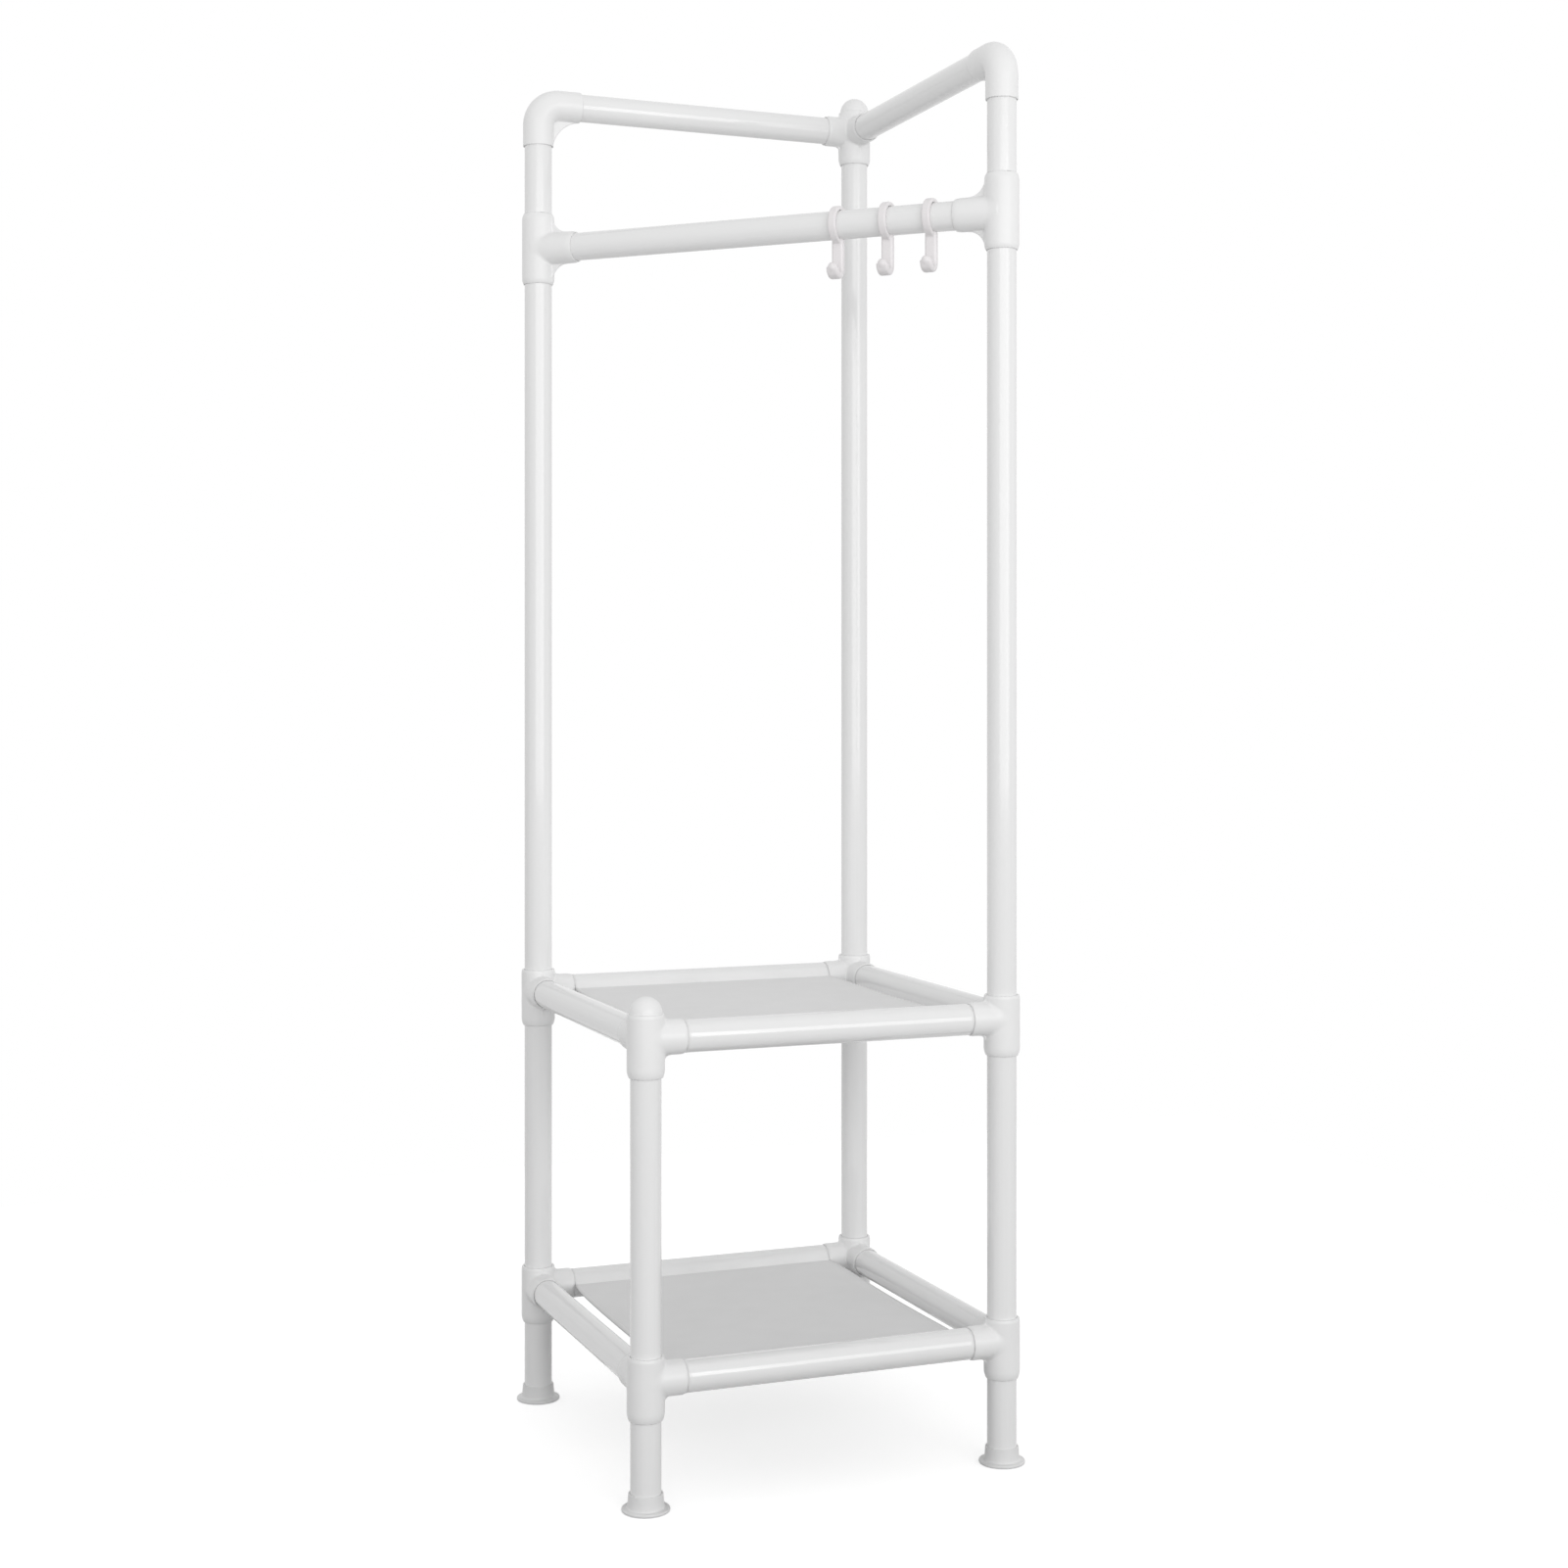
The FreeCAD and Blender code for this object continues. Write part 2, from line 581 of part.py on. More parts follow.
pipe("back_right_tall_post", f"hanging_bar_rise + top_rail_rise - {CORNER_STOP} - {CORNER_TOP_STOP}",
     (RIGHT, BACK, f"{UPPER_SHELF} + {CORNER_TOP_STOP}"))
corner_fitting("back_right_top_corner", (RIGHT, BACK, TOP_RAIL), POSTS["back_right"][2])
dome_plug("back_right_dome_plug", (RIGHT, BACK, TOP_RAIL))
dome_plug("front_left_dome_plug", (LEFT, FRONT, UPPER_SHELF))
TOP_RAIL_START = f"{ELBOW_STOP} - {HALF_SPACING}"
TOP_RAIL_LENGTH = f"post_spacing - {ELBOW_STOP} - {CORNER_STOP}"
pipe("back_top_rail", TOP_RAIL_LENGTH, (TOP_RAIL_START, BACK, TOP_RAIL), ALONG_X)
pipe("right_top_rail", TOP_RAIL_LENGTH, (RIGHT, TOP_RAIL_START, TOP_RAIL), ALONG_Y)
BAR_START = f"({HALF_SPACING} - {TEE_BRANCH_STOP} / sqrt(2))"
pipe("hanging_bar", f"2 * ({BAR_HALF_SPAN} - {TEE_BRANCH_STOP})", (f"-{BAR_START}", BAR_START, HANGING_BAR),
     ALONG_BAR)

# Hooks

hook("left_hook", LEFT_HOOK)
hook("middle_hook", MIDDLE_HOOK)
hook("right_hook", RIGHT_HOOK)

# Every object has to be sound before any file is written

doc.recompute()
for item in doc.Objects:
    if {"Invalid", "Error"} & set(item.State):
        raise RuntimeError(f"{item.Label} did not compute: {item.State}")
for body in parts:
    if body.Shape.isNull() or not body.Shape.isValid() or len(body.Shape.Solids) != 1:
        raise RuntimeError(f"{body.Label} is not one sound solid")

os.makedirs("parts", exist_ok=True)
for body in parts:
    body.Shape.exportStep(f"parts/{body.Label}.step")
print(f"{len(parts)} parts written")
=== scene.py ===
import bpy
import numpy as np
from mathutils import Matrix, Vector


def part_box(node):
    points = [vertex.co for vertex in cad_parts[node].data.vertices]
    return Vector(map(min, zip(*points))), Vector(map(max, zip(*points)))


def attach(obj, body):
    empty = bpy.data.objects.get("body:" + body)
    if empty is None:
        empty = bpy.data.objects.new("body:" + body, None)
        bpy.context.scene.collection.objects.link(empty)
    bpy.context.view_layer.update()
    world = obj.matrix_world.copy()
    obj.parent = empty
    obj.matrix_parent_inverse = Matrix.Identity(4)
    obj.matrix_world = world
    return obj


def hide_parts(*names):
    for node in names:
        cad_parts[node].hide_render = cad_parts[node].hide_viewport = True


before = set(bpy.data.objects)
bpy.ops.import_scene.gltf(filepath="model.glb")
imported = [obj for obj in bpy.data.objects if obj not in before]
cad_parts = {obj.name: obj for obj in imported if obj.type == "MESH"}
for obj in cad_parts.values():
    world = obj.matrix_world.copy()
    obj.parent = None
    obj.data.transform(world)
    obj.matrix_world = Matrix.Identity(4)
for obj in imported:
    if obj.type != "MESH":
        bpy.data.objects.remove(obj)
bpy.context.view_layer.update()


# Feet
# A cup under each post that flares out to a thin flange, moulded in white polypropylene with a satin surface.
# The leg is pushed into the cup and stands on its floor.

mm = 0.001
posts = ("front_left", "front_right", "back_right", "back_left")


def linear(hex_colour):
    """Linear RGBA of an sRGB hex colour, by the standard sRGB curve."""
    channels = np.array([int(hex_colour[start:start + 2], 16) for start in (0, 2, 4)]) / 255
    return (*np.where(channels <= 0.04045, channels / 12.92, ((channels + 0.055) / 1.055) ** 2.4), 1.0)


def add_node(tree, kind, inputs=None, **settings):
    """Node of that kind: settings are its own properties, inputs gives each socket a value or a link."""
    node = tree.nodes.new(kind)
    for name, value in settings.items():
        setattr(node, name, value)
    for name, value in (inputs or {}).items():
        if isinstance(value, bpy.types.NodeSocket):
            tree.links.new(value, node.inputs[name])
        else:
            node.inputs[name].default_value = value
    return node


def new_material(name):
    """Material with an empty node tree, and that tree."""
    material = bpy.data.materials.new(name)
    material.use_nodes = True
    material.node_tree.nodes.clear()
    return material, material.node_tree


def moulded_plastic(name, pale, deep, roughness, grain, ior):
    """Injection-moulded plastic: the mould's eroded grain breaks up its gloss, its tone is faintly cloudy.

    The melt's clouds are about 40 mm wide. A real grain is near 0.2 mm, drawn coarser so that it shows.
    """
    material, tree = new_material(name)
    place = add_node(tree, "ShaderNodeTexCoord").outputs["Object"]
    melt = add_node(tree, "ShaderNodeTexNoise", {"Vector": place, "Scale": 1 / (40 * mm), "Detail": 3.0})
    tone = add_node(tree, "ShaderNodeMix", {0: melt.outputs["Fac"], 6: linear(deep), 7: linear(pale)},
                    data_type="RGBA").outputs[2]
    skin = add_node(tree, "ShaderNodeTexNoise", {"Vector": place, "Scale": 1 / grain, "Detail": 2.0})
    gloss = add_node(tree, "ShaderNodeMapRange", {
        "Value": skin.outputs["Fac"], "From Min": 0.3, "From Max": 0.7,
        "To Min": roughness - 0.05, "To Max": roughness + 0.05})
    relief = add_node(tree, "ShaderNodeBump", {
        "Height": skin.outputs["Fac"], "Strength": 0.15, "Distance": 0.1 * mm})
    shader = add_node(tree, "ShaderNodeBsdfPrincipled", {
        "Base Color": tone, "Roughness": gloss.outputs["Result"],
        "Normal": relief.outputs["Normal"], "IOR": ior})
    add_node(tree, "ShaderNodeOutputMaterial", {"Surface": shader.outputs["BSDF"]})
    return material


def new_piece(node, ending, body, material, points, faces, normals=None):
    """Mesh object that stands for a CAD node, rides on a body and takes its finish from a slot."""
    mesh = bpy.data.meshes.new(f"{node}_{ending}")
    mesh.from_pydata(points, [], faces)
    mesh.materials.append(material)
    mesh.shade_smooth()
    if normals is None:
        mesh.set_sharp_from_angle(angle=np.radians(40))
    else:
        mesh.normals_split_custom_set_from_vertices(normals)
    piece = bpy.data.objects.new(mesh.name, mesh)
    bpy.context.scene.collection.objects.link(piece)
    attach(piece, body)
    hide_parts(node)
    return piece


def rounded(outline, steps=7):
    """Closed outline with its corners swung round arcs: rows of x, y and corner radius in, points out.

    At a corner P with the unit directions a and b to its neighbours, the arc's centre is
    P + (a + b) r / |a x b|, and its points turn evenly from one tangent point to the other.
    """
    outline = np.array(outline, float)
    corner = outline[:, :2]
    radius = np.maximum(outline[:, 2:], 1e-9)
    back = np.roll(corner, 1, axis=0) - corner
    ahead = np.roll(corner, -1, axis=0) - corner
    back /= np.linalg.norm(back, axis=1, keepdims=True)
    ahead /= np.linalg.norm(ahead, axis=1, keepdims=True)
    cross = np.abs(back[:, :1] * ahead[:, 1:] - back[:, 1:] * ahead[:, :1])
    dot = np.sum(back * ahead, axis=1, keepdims=True)
    straight = cross < 1e-6
    cross = np.where(straight, 1, cross)
    radius = np.where(straight, 1e-9, radius)
    centre = corner + (back + ahead) * radius / cross
    reach = radius * (1 + dot) / cross
    first = (corner + back * reach - centre)[:, None]
    last = (corner + ahead * reach - centre)[:, None]
    turn = np.clip(np.pi - np.arccos(np.clip(dot, -1, 1)), 1e-6, None)[:, None]
    share = np.linspace(0, 1, steps)[None, :, None]
    arc = (np.sin((1 - share) * turn) * first + np.sin(share * turn) * last) / np.sin(turn)
    points = (centre[:, None] + arc).reshape(-1, 2)
    return points[np.linalg.norm(points - np.roll(points, 1, axis=0), axis=1) > 1e-6]


def ring_faces(rings, sides, closed):
    """Quads between neighbouring rings of points, and from the last ring to the first if closed."""
    ring = np.arange(rings if closed else rings - 1)[:, None]
    side = np.arange(sides)[None, :]
    onward = (ring + 1) % rings
    beside = (side + 1) % sides
    quads = (ring * sides + side, ring * sides + beside, onward * sides + beside, onward * sides + side)
    return np.stack(np.broadcast_arrays(*quads), axis=-1).reshape(-1, 4).tolist()


def turned(profile, sides=96, capped=False):
    """Profile of radius and height turned about the z axis: (r cos a, r sin a, h) over a whole turn of a.

    The profile closes on itself, or is open with a flat cap inside its first and its last ring.
    """
    angle = np.arange(sides) * 2 * np.pi / sides
    radius, height = profile[:, :1], profile[:, 1:]
    points = np.stack([radius * np.cos(angle), radius * np.sin(angle), height + 0 * angle], axis=-1)
    faces = ring_faces(len(profile), sides, closed=not capped)
    if capped:
        first = np.arange(sides)
        faces += [first[::-1].tolist(), (first + (len(profile) - 1) * sides).tolist()]
    return points.reshape(-1, 3), faces


def middle(node):
    """Middle of a CAD node's box."""
    return np.mean(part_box(node), axis=0)


def extent(node):
    """Size of a CAD node's box."""
    return np.ptp(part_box(node), axis=0)


pipe_radius = extent("front_left_leg")[0] / 2
socket_clearance = 0.1 * mm
socket_radius = pipe_radius + socket_clearance
foot_height = extent("front_left_foot")[2]
flange_radius = extent("front_left_foot")[0] / 2
flange_width = 6 * mm
flange_height = 3.4 * mm
flange_round = 1.4 * mm
cup_wall = 1.8 * mm
cup_base = flange_radius - flange_width
cup_rim = socket_radius + cup_wall
cup_rim_edge, cup_mouth_edge = 0.5 * mm, 0.4 * mm
flare = 2 * mm
foot_floor = 3 * mm
hub = 8 * mm
foot_outline = rounded([
    (hub, 0, 0),
    (flange_radius, 0, flange_round),
    (flange_radius, flange_height, flange_round),
    (cup_base, flange_height, flare),
    (cup_rim, foot_height, cup_rim_edge),
    (socket_radius, foot_height, cup_mouth_edge),
    (socket_radius, foot_floor, 0),
    (hub, foot_floor, 0),
])

# Polypropylene from a dull mould: the greyest and least glossy of the white plastics here
foot_plastic = moulded_plastic(
    "moulded_polypropylene_foot", pale="E6E6E6", deep="DFDFDF", roughness=0.42, grain=1.1 * mm, ior=1.49)
foot_points, foot_faces = turned(foot_outline, capped=True)
for post in posts:
    place = middle(f"{post}_foot") * (1, 1, 0)
    new_piece(f"{post}_foot", "cup", "rack_frame", foot_plastic,
              foot_points + place, foot_faces)


# Pipes
# Posts, shelf rails, top rails and hanging bar are one white pipe with a glossy skin, cut to length.
# It is extruded, so the faint streaks of its die run along it. Its ends stand on the stops in the fittings.

pipe_wall = 2 * mm
bore_radius = pipe_radius - pipe_wall
pipe_edge, bore_edge = 0.5 * mm, 0.3 * mm
end_band = 1.5 * mm
shelves = ("lower", "upper")
pipe_runs = {
    (0, 0, 1): [f"{post}_{name}" for post in posts for name in ("leg", "shelf_post")]
    + [f"{post}_tall_post" for post in posts[1:]] + ["front_right_top_post", "back_left_top_post"],
    (1, 0, 0): [f"{shelf}_{side}_rail" for shelf in shelves for side in ("front", "back")]
    + ["back_top_rail"],
    (0, 1, 0): [f"{shelf}_{side}_rail" for shelf in shelves for side in ("left", "right")]
    + ["right_top_rail"],
    (1, -1, 0): ["hanging_bar"],
}

# Extruded PVC: a glossy skin that shows a bright line of light, with faint streaks of tone along the pipe.
# A die's own marks are finer than 0.5 mm, and are drawn 2.5 mm apart so that they show.
pipe_plastic, tree = new_material("extruded_gloss_pvc_pipe")
run = add_node(tree, "ShaderNodeAttribute", attribute_name="run").outputs["Vector"]
drawn = add_node(tree, "ShaderNodeMapping", {
    "Vector": run, "Scale": (1 / (2.5 * mm), 1 / (2.5 * mm), 1 / (700 * mm))})
streak = add_node(tree, "ShaderNodeTexNoise", {
    "Vector": drawn.outputs["Vector"], "Scale": 1.0, "Detail": 2.0})
patch = add_node(tree, "ShaderNodeTexNoise", {"Vector": run, "Scale": 1 / (90 * mm), "Detail": 2.0})
tone = add_node(tree, "ShaderNodeMix", {
    0: streak.outputs["Fac"], 6: linear("EAEAEA"), 7: linear("EEEEEE")}, data_type="RGBA").outputs[2]
gloss = add_node(tree, "ShaderNodeMapRange", {
    "Value": patch.outputs["Fac"], "From Min": 0.3, "From Max": 0.7, "To Min": 0.08, "To Max": 0.14})
relief = add_node(tree, "ShaderNodeBump", {
    "Height": streak.outputs["Fac"], "Strength": 0.1, "Distance": 0.05 * mm})
shader = add_node(tree, "ShaderNodeBsdfPrincipled", {
    "Base Color": tone, "Roughness": gloss.outputs["Result"],
    "Normal": relief.outputs["Normal"], "IOR": 1.53})
add_node(tree, "ShaderNodeOutputMaterial", {"Surface": shader.outputs["BSDF"]})


def axes_along(direction):
    """Three unit rows: two across the direction, and the direction itself last."""
    along = np.array(direction, float) / np.linalg.norm(direction)
    beside = np.array((0, 1, 0)) if abs(along[2]) > 0.5 else np.array((0, 0, 1))
    across = np.cross(beside, along)
    across /= np.linalg.norm(across)
    return np.stack([across, np.cross(along, across), along])


# A ring of points just inside each end keeps the rounded edge from bending the light along the pipe.
# Each pipe's streaks are taken from a place of its own, so that no two pipes show the same ones.
pattern_spread = 10
for direction, nodes in pipe_runs.items():
    axes = axes_along(direction)
    along = np.abs(axes[2])
    end_overhang = 2 * pipe_radius * along @ np.sqrt(1 - along ** 2)
    for node in nodes:
        half = (extent(node) @ along - end_overhang) / 2
        straight = half - end_band
        tube = rounded([
            (pipe_radius, -half, pipe_edge),
            (pipe_radius, -straight, 0),
            (pipe_radius, straight, 0),
            (pipe_radius, half, pipe_edge),
            (bore_radius, half, bore_edge),
            (bore_radius, straight, 0),
            (bore_radius, -straight, 0),
            (bore_radius, -half, bore_edge),
        ], steps=3)
        own, faces = turned(tube)
        pipe = new_piece(node, "pipe", "rack_frame", pipe_plastic,
                         own @ axes + middle(node), faces)
        pipe.data.attributes.new("run", "FLOAT_VECTOR", "POINT").data.foreach_set(
            "vector", (own + pattern_spread * middle(node)).astype(np.float32).ravel())


# Corner fittings
# A sleeve for the post with two branches for the rails, injection moulded in white ABS with a satin grain.
# Webs brace the branches, the lower mouth has a rounded lip, and each pipe is pushed in up to a stop.

def outline_distance(x, y, outline):
    """Distance of places from a closed outline: to its nearest side, with the sign from counted crossings."""
    nearest = np.full(np.broadcast(x, y).shape, np.inf)
    sign = np.ones(nearest.shape)
    for (ax, ay), (bx, by) in zip(outline, np.roll(outline, -1, axis=0)):
        side_x, side_y = bx - ax, by - ay
        share = np.clip(((x - ax) * side_x + (y - ay) * side_y) / (side_x ** 2 + side_y ** 2), 0, 1)
        nearest = np.minimum(nearest, (x - ax - share * side_x) ** 2 + (y - ay - share * side_y) ** 2)
        above_start, below_end = y >= ay, y < by
        left = side_x * (y - ay) > side_y * (x - ax)
        crossed = (above_start & below_end & left) | (~above_start & ~below_end & ~left)
        sign = np.where(crossed, -sign, sign)
    return sign * np.sqrt(nearest)


def turned_distance(place, axis, outline):
    """Distance from a body that is an outline of radius and height turned about axis 0, 1 or 2."""
    others = [other for other in range(3) if other != axis]
    across = np.hypot(place[..., others[0]], place[..., others[1]])
    return outline_distance(across, place[..., axis], outline)


def plate_distance(x, y, off, outline, thickness, edge):
    """Distance from a flat plate of that outline and thickness, with its edges rounded."""
    beside = outline_distance(x, y, outline) + edge
    beyond = np.abs(off) - thickness / 2 + edge
    inside = np.minimum(np.maximum(beside, beyond), 0)
    return inside + np.hypot(np.maximum(beside, 0), np.maximum(beyond, 0)) - edge


def joined(first, second, fillet):
    """Two distances as one body, with a fillet in the corner between them: a smooth minimum."""
    share = np.clip(0.5 + 0.5 * (second - first) / fillet, 0, 1)
    return second + share * (first - second) - fillet * share * (1 - share)


def hollowed(body, bore, edge):
    """A body with a bore taken out and the edge between them rounded: a smooth maximum of body and -bore."""
    return -joined(-body, bore, edge)


def moulded_surface(distance, low, high, step):
    """Surface where a distance is zero, its faces and its normals.

    Each grid cell that the surface passes through has a point, the mean of where the surface cuts its edges,
    which then slides along the distance's slope on to the surface. Each cut edge joins its four cells.
    """
    axes = [np.arange(start - step, end + 2 * step, step) for start, end in zip(low, high)]
    grid = np.stack(np.meshgrid(*axes, indexing="ij"), axis=-1)
    field = distance(grid)
    cells = np.array(field.shape) - 1
    total = np.zeros((*cells, 3))
    count = np.zeros((*cells, 1))
    cuts = []
    for axis in range(3):
        start = np.argwhere(np.diff(field < 0, axis=axis))
        end = start + np.eye(3, dtype=int)[axis]
        value = field[tuple(start.T)]
        point = grid[tuple(start.T)]
        point[:, axis] += step * value / (value - field[tuple(end.T)])
        before, after = np.delete(np.eye(3, dtype=int), axis, axis=0)
        around = [start - before - after, start - after, start, start - before]
        for cell in around:
            np.add.at(total, tuple(cell.T), point)
            np.add.at(count, tuple(cell.T), 1)
        cuts.append((around, (value < 0) != (axis == 1)))
    used = count[..., 0] > 0
    number = np.cumsum(used).reshape(cells) - 1
    points = total[used] / count[used]
    quads = []
    for around, outward in cuts:
        ring = np.stack([number[tuple(cell.T)] for cell in around], axis=1)
        quads.append(np.where(outward[:, None], ring, ring[:, ::-1]))

    def slope(place):
        shift = step / 50
        rise = [distance(place + side) - distance(place - side) for side in np.eye(3) * shift]
        return np.stack(rise, axis=-1) / (2 * shift)

    for _ in range(3):
        steep = slope(points)
        fall = np.clip(distance(points), -step, step) / np.maximum(np.sum(steep ** 2, axis=1), 0.2)
        points = points - fall[:, None] * steep
    normals = slope(points)
    return points, np.concatenate(quads).tolist(), normals / np.linalg.norm(normals, axis=1, keepdims=True)


def spun(points, degrees):
    """Points turned about the z axis."""
    angle = np.radians(degrees)
    cos, sin = np.cos(angle), np.sin(angle)
    return points @ np.array(((cos, sin, 0), (-sin, cos, 0), (0, 0, 1)))


def lip(mouth, body, length, end, steps=6):
    """Points of an arc from a mouth's radius at its end height to the body's, which it meets smoothly."""
    inset = body - mouth
    arc = (length ** 2 + inset ** 2) / (2 * inset)
    left = np.linspace(abs(length), 0, steps)
    radius = body - arc + np.sqrt(arc ** 2 - left ** 2)
    return [(across, end + np.sign(length) * (abs(length) - rest), 0) for across, rest in zip(radius, left)]


shelf_heights = {"lower": middle("lower_front_rail")[2], "upper": middle("upper_front_rail")[2]}
corner_low, corner_high = np.array(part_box("front_left_lower_corner"))
corner_centre = np.array((*middle("front_left_leg")[:2], shelf_heights["lower"]))
sleeve_radius = corner_centre[0] - corner_low[0]
corner_reach = corner_high[0] - corner_centre[0]
corner_rise = corner_high[2] - corner_centre[2]
branch_radius = socket_radius + 1.9 * mm
corner_mouth = socket_radius + 1.4 * mm
corner_lip = 9 * mm
rim_length, rim_inset, rim_round = 3 * mm, 0.8 * mm, 4 * mm
sleeve_rim_edge, branch_rim_edge, corner_bore_edge = 0.4 * mm, 0.3 * mm, 0.4 * mm
socket_depth = 22 * mm
corner_stop = corner_reach - socket_depth
lower_web, upper_web = 8 * mm, 5 * mm
web_thickness, web_edge, web_fillet = 3 * mm, 1.2 * mm, 1.5 * mm
branch_fillet = 2.5 * mm
fitting_grid = 0.9 * mm
web_turn = np.linspace(0, np.pi / 2, 9)


def corner_distance(place):
    """Sleeve and two branches joined with fillets, a web above and below each branch, then the bores."""
    sleeve = rounded([
        (0, -corner_reach, 0),
        *lip(corner_mouth, sleeve_radius, corner_lip, -corner_reach),
        (sleeve_radius, corner_rise - rim_length, rim_round),
        (sleeve_radius - rim_inset, corner_rise, sleeve_rim_edge),
        (0, corner_rise, 0),
    ], steps=4)
    branch = rounded([
        (0, 0, 0),
        (branch_radius, 0, 0),
        (branch_radius, corner_reach - rim_length, rim_round),
        (branch_radius - rim_inset, corner_reach, branch_rim_edge),
        (0, corner_reach, 0),
    ], steps=4)
    beyond = corner_reach + socket_depth
    post_bore = np.array([
        (0, -beyond), (socket_radius, -beyond), (socket_radius, -corner_stop), (bore_radius, -corner_stop),
        (bore_radius, corner_rise - socket_depth), (socket_radius, corner_rise - socket_depth),
        (socket_radius, beyond), (0, beyond)])
    rail_bore = np.array([
        (0, 0), (bore_radius, 0), (bore_radius, corner_stop), (socket_radius, corner_stop),
        (socket_radius, beyond), (0, beyond)])
    near, far = 1 - np.cos(web_turn), 1 - np.sin(web_turn)
    web = np.concatenate([
        [(0, -branch_radius - lower_web)],
        np.stack([sleeve_radius + lower_web * near, -branch_radius - lower_web * far], axis=1),
        np.stack([sleeve_radius + upper_web * far, branch_radius + upper_web * near], axis=1),
        [(0, branch_radius + upper_web)]])
    body = turned_distance(place, 2, sleeve)
    bore = turned_distance(place, 2, post_bore)
    for axis, other in ((0, 1), (1, 0)):
        plate = plate_distance(
            place[..., axis], place[..., 2], place[..., other], web, web_thickness, web_edge)
        body = joined(body, turned_distance(place, axis, branch), branch_fillet)
        body = joined(body, plate, web_fillet)
        bore = np.minimum(bore, turned_distance(place, axis, rail_bore))
    return hollowed(body, bore, corner_bore_edge)


# ABS from an eroded mould: a satin white that softens the light where the pipes show a sharp line
fitting_plastic = moulded_plastic(
    "moulded_satin_abs_fitting", pale="F0F0F0", deep="EAEAEA", roughness=0.36, grain=0.9 * mm, ior=1.54)
corner_points, corner_faces, corner_normals = moulded_surface(
    corner_distance, corner_low - corner_centre, corner_high - corner_centre, fitting_grid)
for quarter, post in enumerate(posts):
    for level in ("lower_corner", "upper_corner", "top_corner"):
        node = f"{post}_{level}"
        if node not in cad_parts:
            continue
        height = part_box(node)[1][2] - corner_rise
        place = np.array((*middle(f"{post}_leg")[:2], height))
        new_piece(node, "moulding", "rack_frame", fitting_plastic,
                  spun(corner_points, 90 * quarter) + place, corner_faces, spun(corner_normals, 90 * quarter))


# Dome plugs
# A hollow cap, moulded like the fittings, closes the open sleeve on the short post and on the corner post.
# Its stem is the pipe's size and goes down to the sleeve's stop, and its half ball lies on the sleeve's rim.

dome_wall = 2 * mm
plug_edge, dome_edge = 0.4 * mm, 0.2 * mm
for node in ("front_left_dome_plug", "back_right_dome_plug"):
    low, high = np.array(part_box(node))
    dome = extent(node)[0] / 2
    spring = high[2] - low[2] - dome
    bend = np.linspace(0, np.pi / 2, 25)[:-1]
    inner = pipe_radius - dome_wall
    stem_outline = rounded([
        (inner, spring, 0),
        (inner, 0, plug_edge),
        (pipe_radius, 0, plug_edge),
        (pipe_radius, socket_depth, 0),
        (dome, socket_depth, dome_edge),
        (dome, spring, 0),
    ])
    shell = np.concatenate([
        np.stack([inner * np.cos(bend), spring + inner * np.sin(bend)], axis=1)[::-1],
        stem_outline[1:-1],
        np.stack([dome * np.cos(bend), spring + dome * np.sin(bend)], axis=1)])
    points, faces = turned(shell, capped=True)
    new_piece(node, "cap", "rack_frame", fitting_plastic,
              points + middle(node) * (1, 1, 0) + (0, 0, low[2]), faces)


# Tees
# A sleeve on each outer post with one branch turned inwards for the hanging bar, moulded like the corners.
# All three mouths have rounded lips, and a curved web stands above and below the branch.

tee_half = extent("back_left_tee")[2] / 2
tee_sleeve = socket_radius + 2.8 * mm
tee_branch = socket_radius + 2.3 * mm
tee_mouth, tee_branch_mouth = socket_radius + 0.8 * mm, socket_radius + 1.3 * mm
tee_lip = 7 * mm
tee_bore_edge = 0.5 * mm
tee_web_setback = 2.5 * mm
tee_reach = 51.5 * mm
tee_stop = tee_half - socket_depth
tee_branch_stop = tee_reach - socket_depth


def tee_distance(place):
    """Lipped sleeve and branch joined with a fillet, the plate web, then the three sockets to their stops."""
    mouth = np.array(lip(tee_mouth, tee_sleeve, tee_lip, -tee_half))[:, :2]
    sleeve = np.concatenate([[(0, -tee_half)], mouth, mouth[::-1] * (1, -1), [(0, tee_half)]])
    branch_mouth = np.array(lip(tee_branch_mouth, tee_branch, -tee_lip, tee_reach))[::-1, :2]
    branch = np.concatenate([[(0, 0), (tee_branch, 0)], branch_mouth, [(0, tee_reach)]])
    post_bore = np.array([
        (0, -2 * tee_half), (socket_radius, -2 * tee_half), (socket_radius, -tee_stop),
        (bore_radius, -tee_stop), (bore_radius, tee_stop), (socket_radius, tee_stop),
        (socket_radius, 2 * tee_half), (0, 2 * tee_half)])
    bar_bore = np.array([
        (0, 0), (bore_radius, 0), (bore_radius, tee_branch_stop), (socket_radius, tee_branch_stop),
        (socket_radius, 2 * tee_reach), (0, 2 * tee_reach)])
    span = tee_half - tee_web_setback - tee_branch
    near, far = span * (1 - np.cos(web_turn)), span * (1 - np.sin(web_turn))
    below = np.stack([tee_sleeve + near, -tee_branch - far], axis=1)
    web = np.concatenate([
        [(0, -tee_branch - span)], below, below[::-1] * (1, -1), [(0, tee_branch + span)]])
    plate = plate_distance(place[..., 0], place[..., 2], place[..., 1], web, web_thickness, web_edge)
    body = joined(turned_distance(place, 2, sleeve), turned_distance(place, 0, branch), branch_fillet)
    body = joined(body, plate, web_fillet)
    bore = np.minimum(turned_distance(place, 2, post_bore), turned_distance(place, 0, bar_bore))
    return hollowed(body, bore, tee_bore_edge)


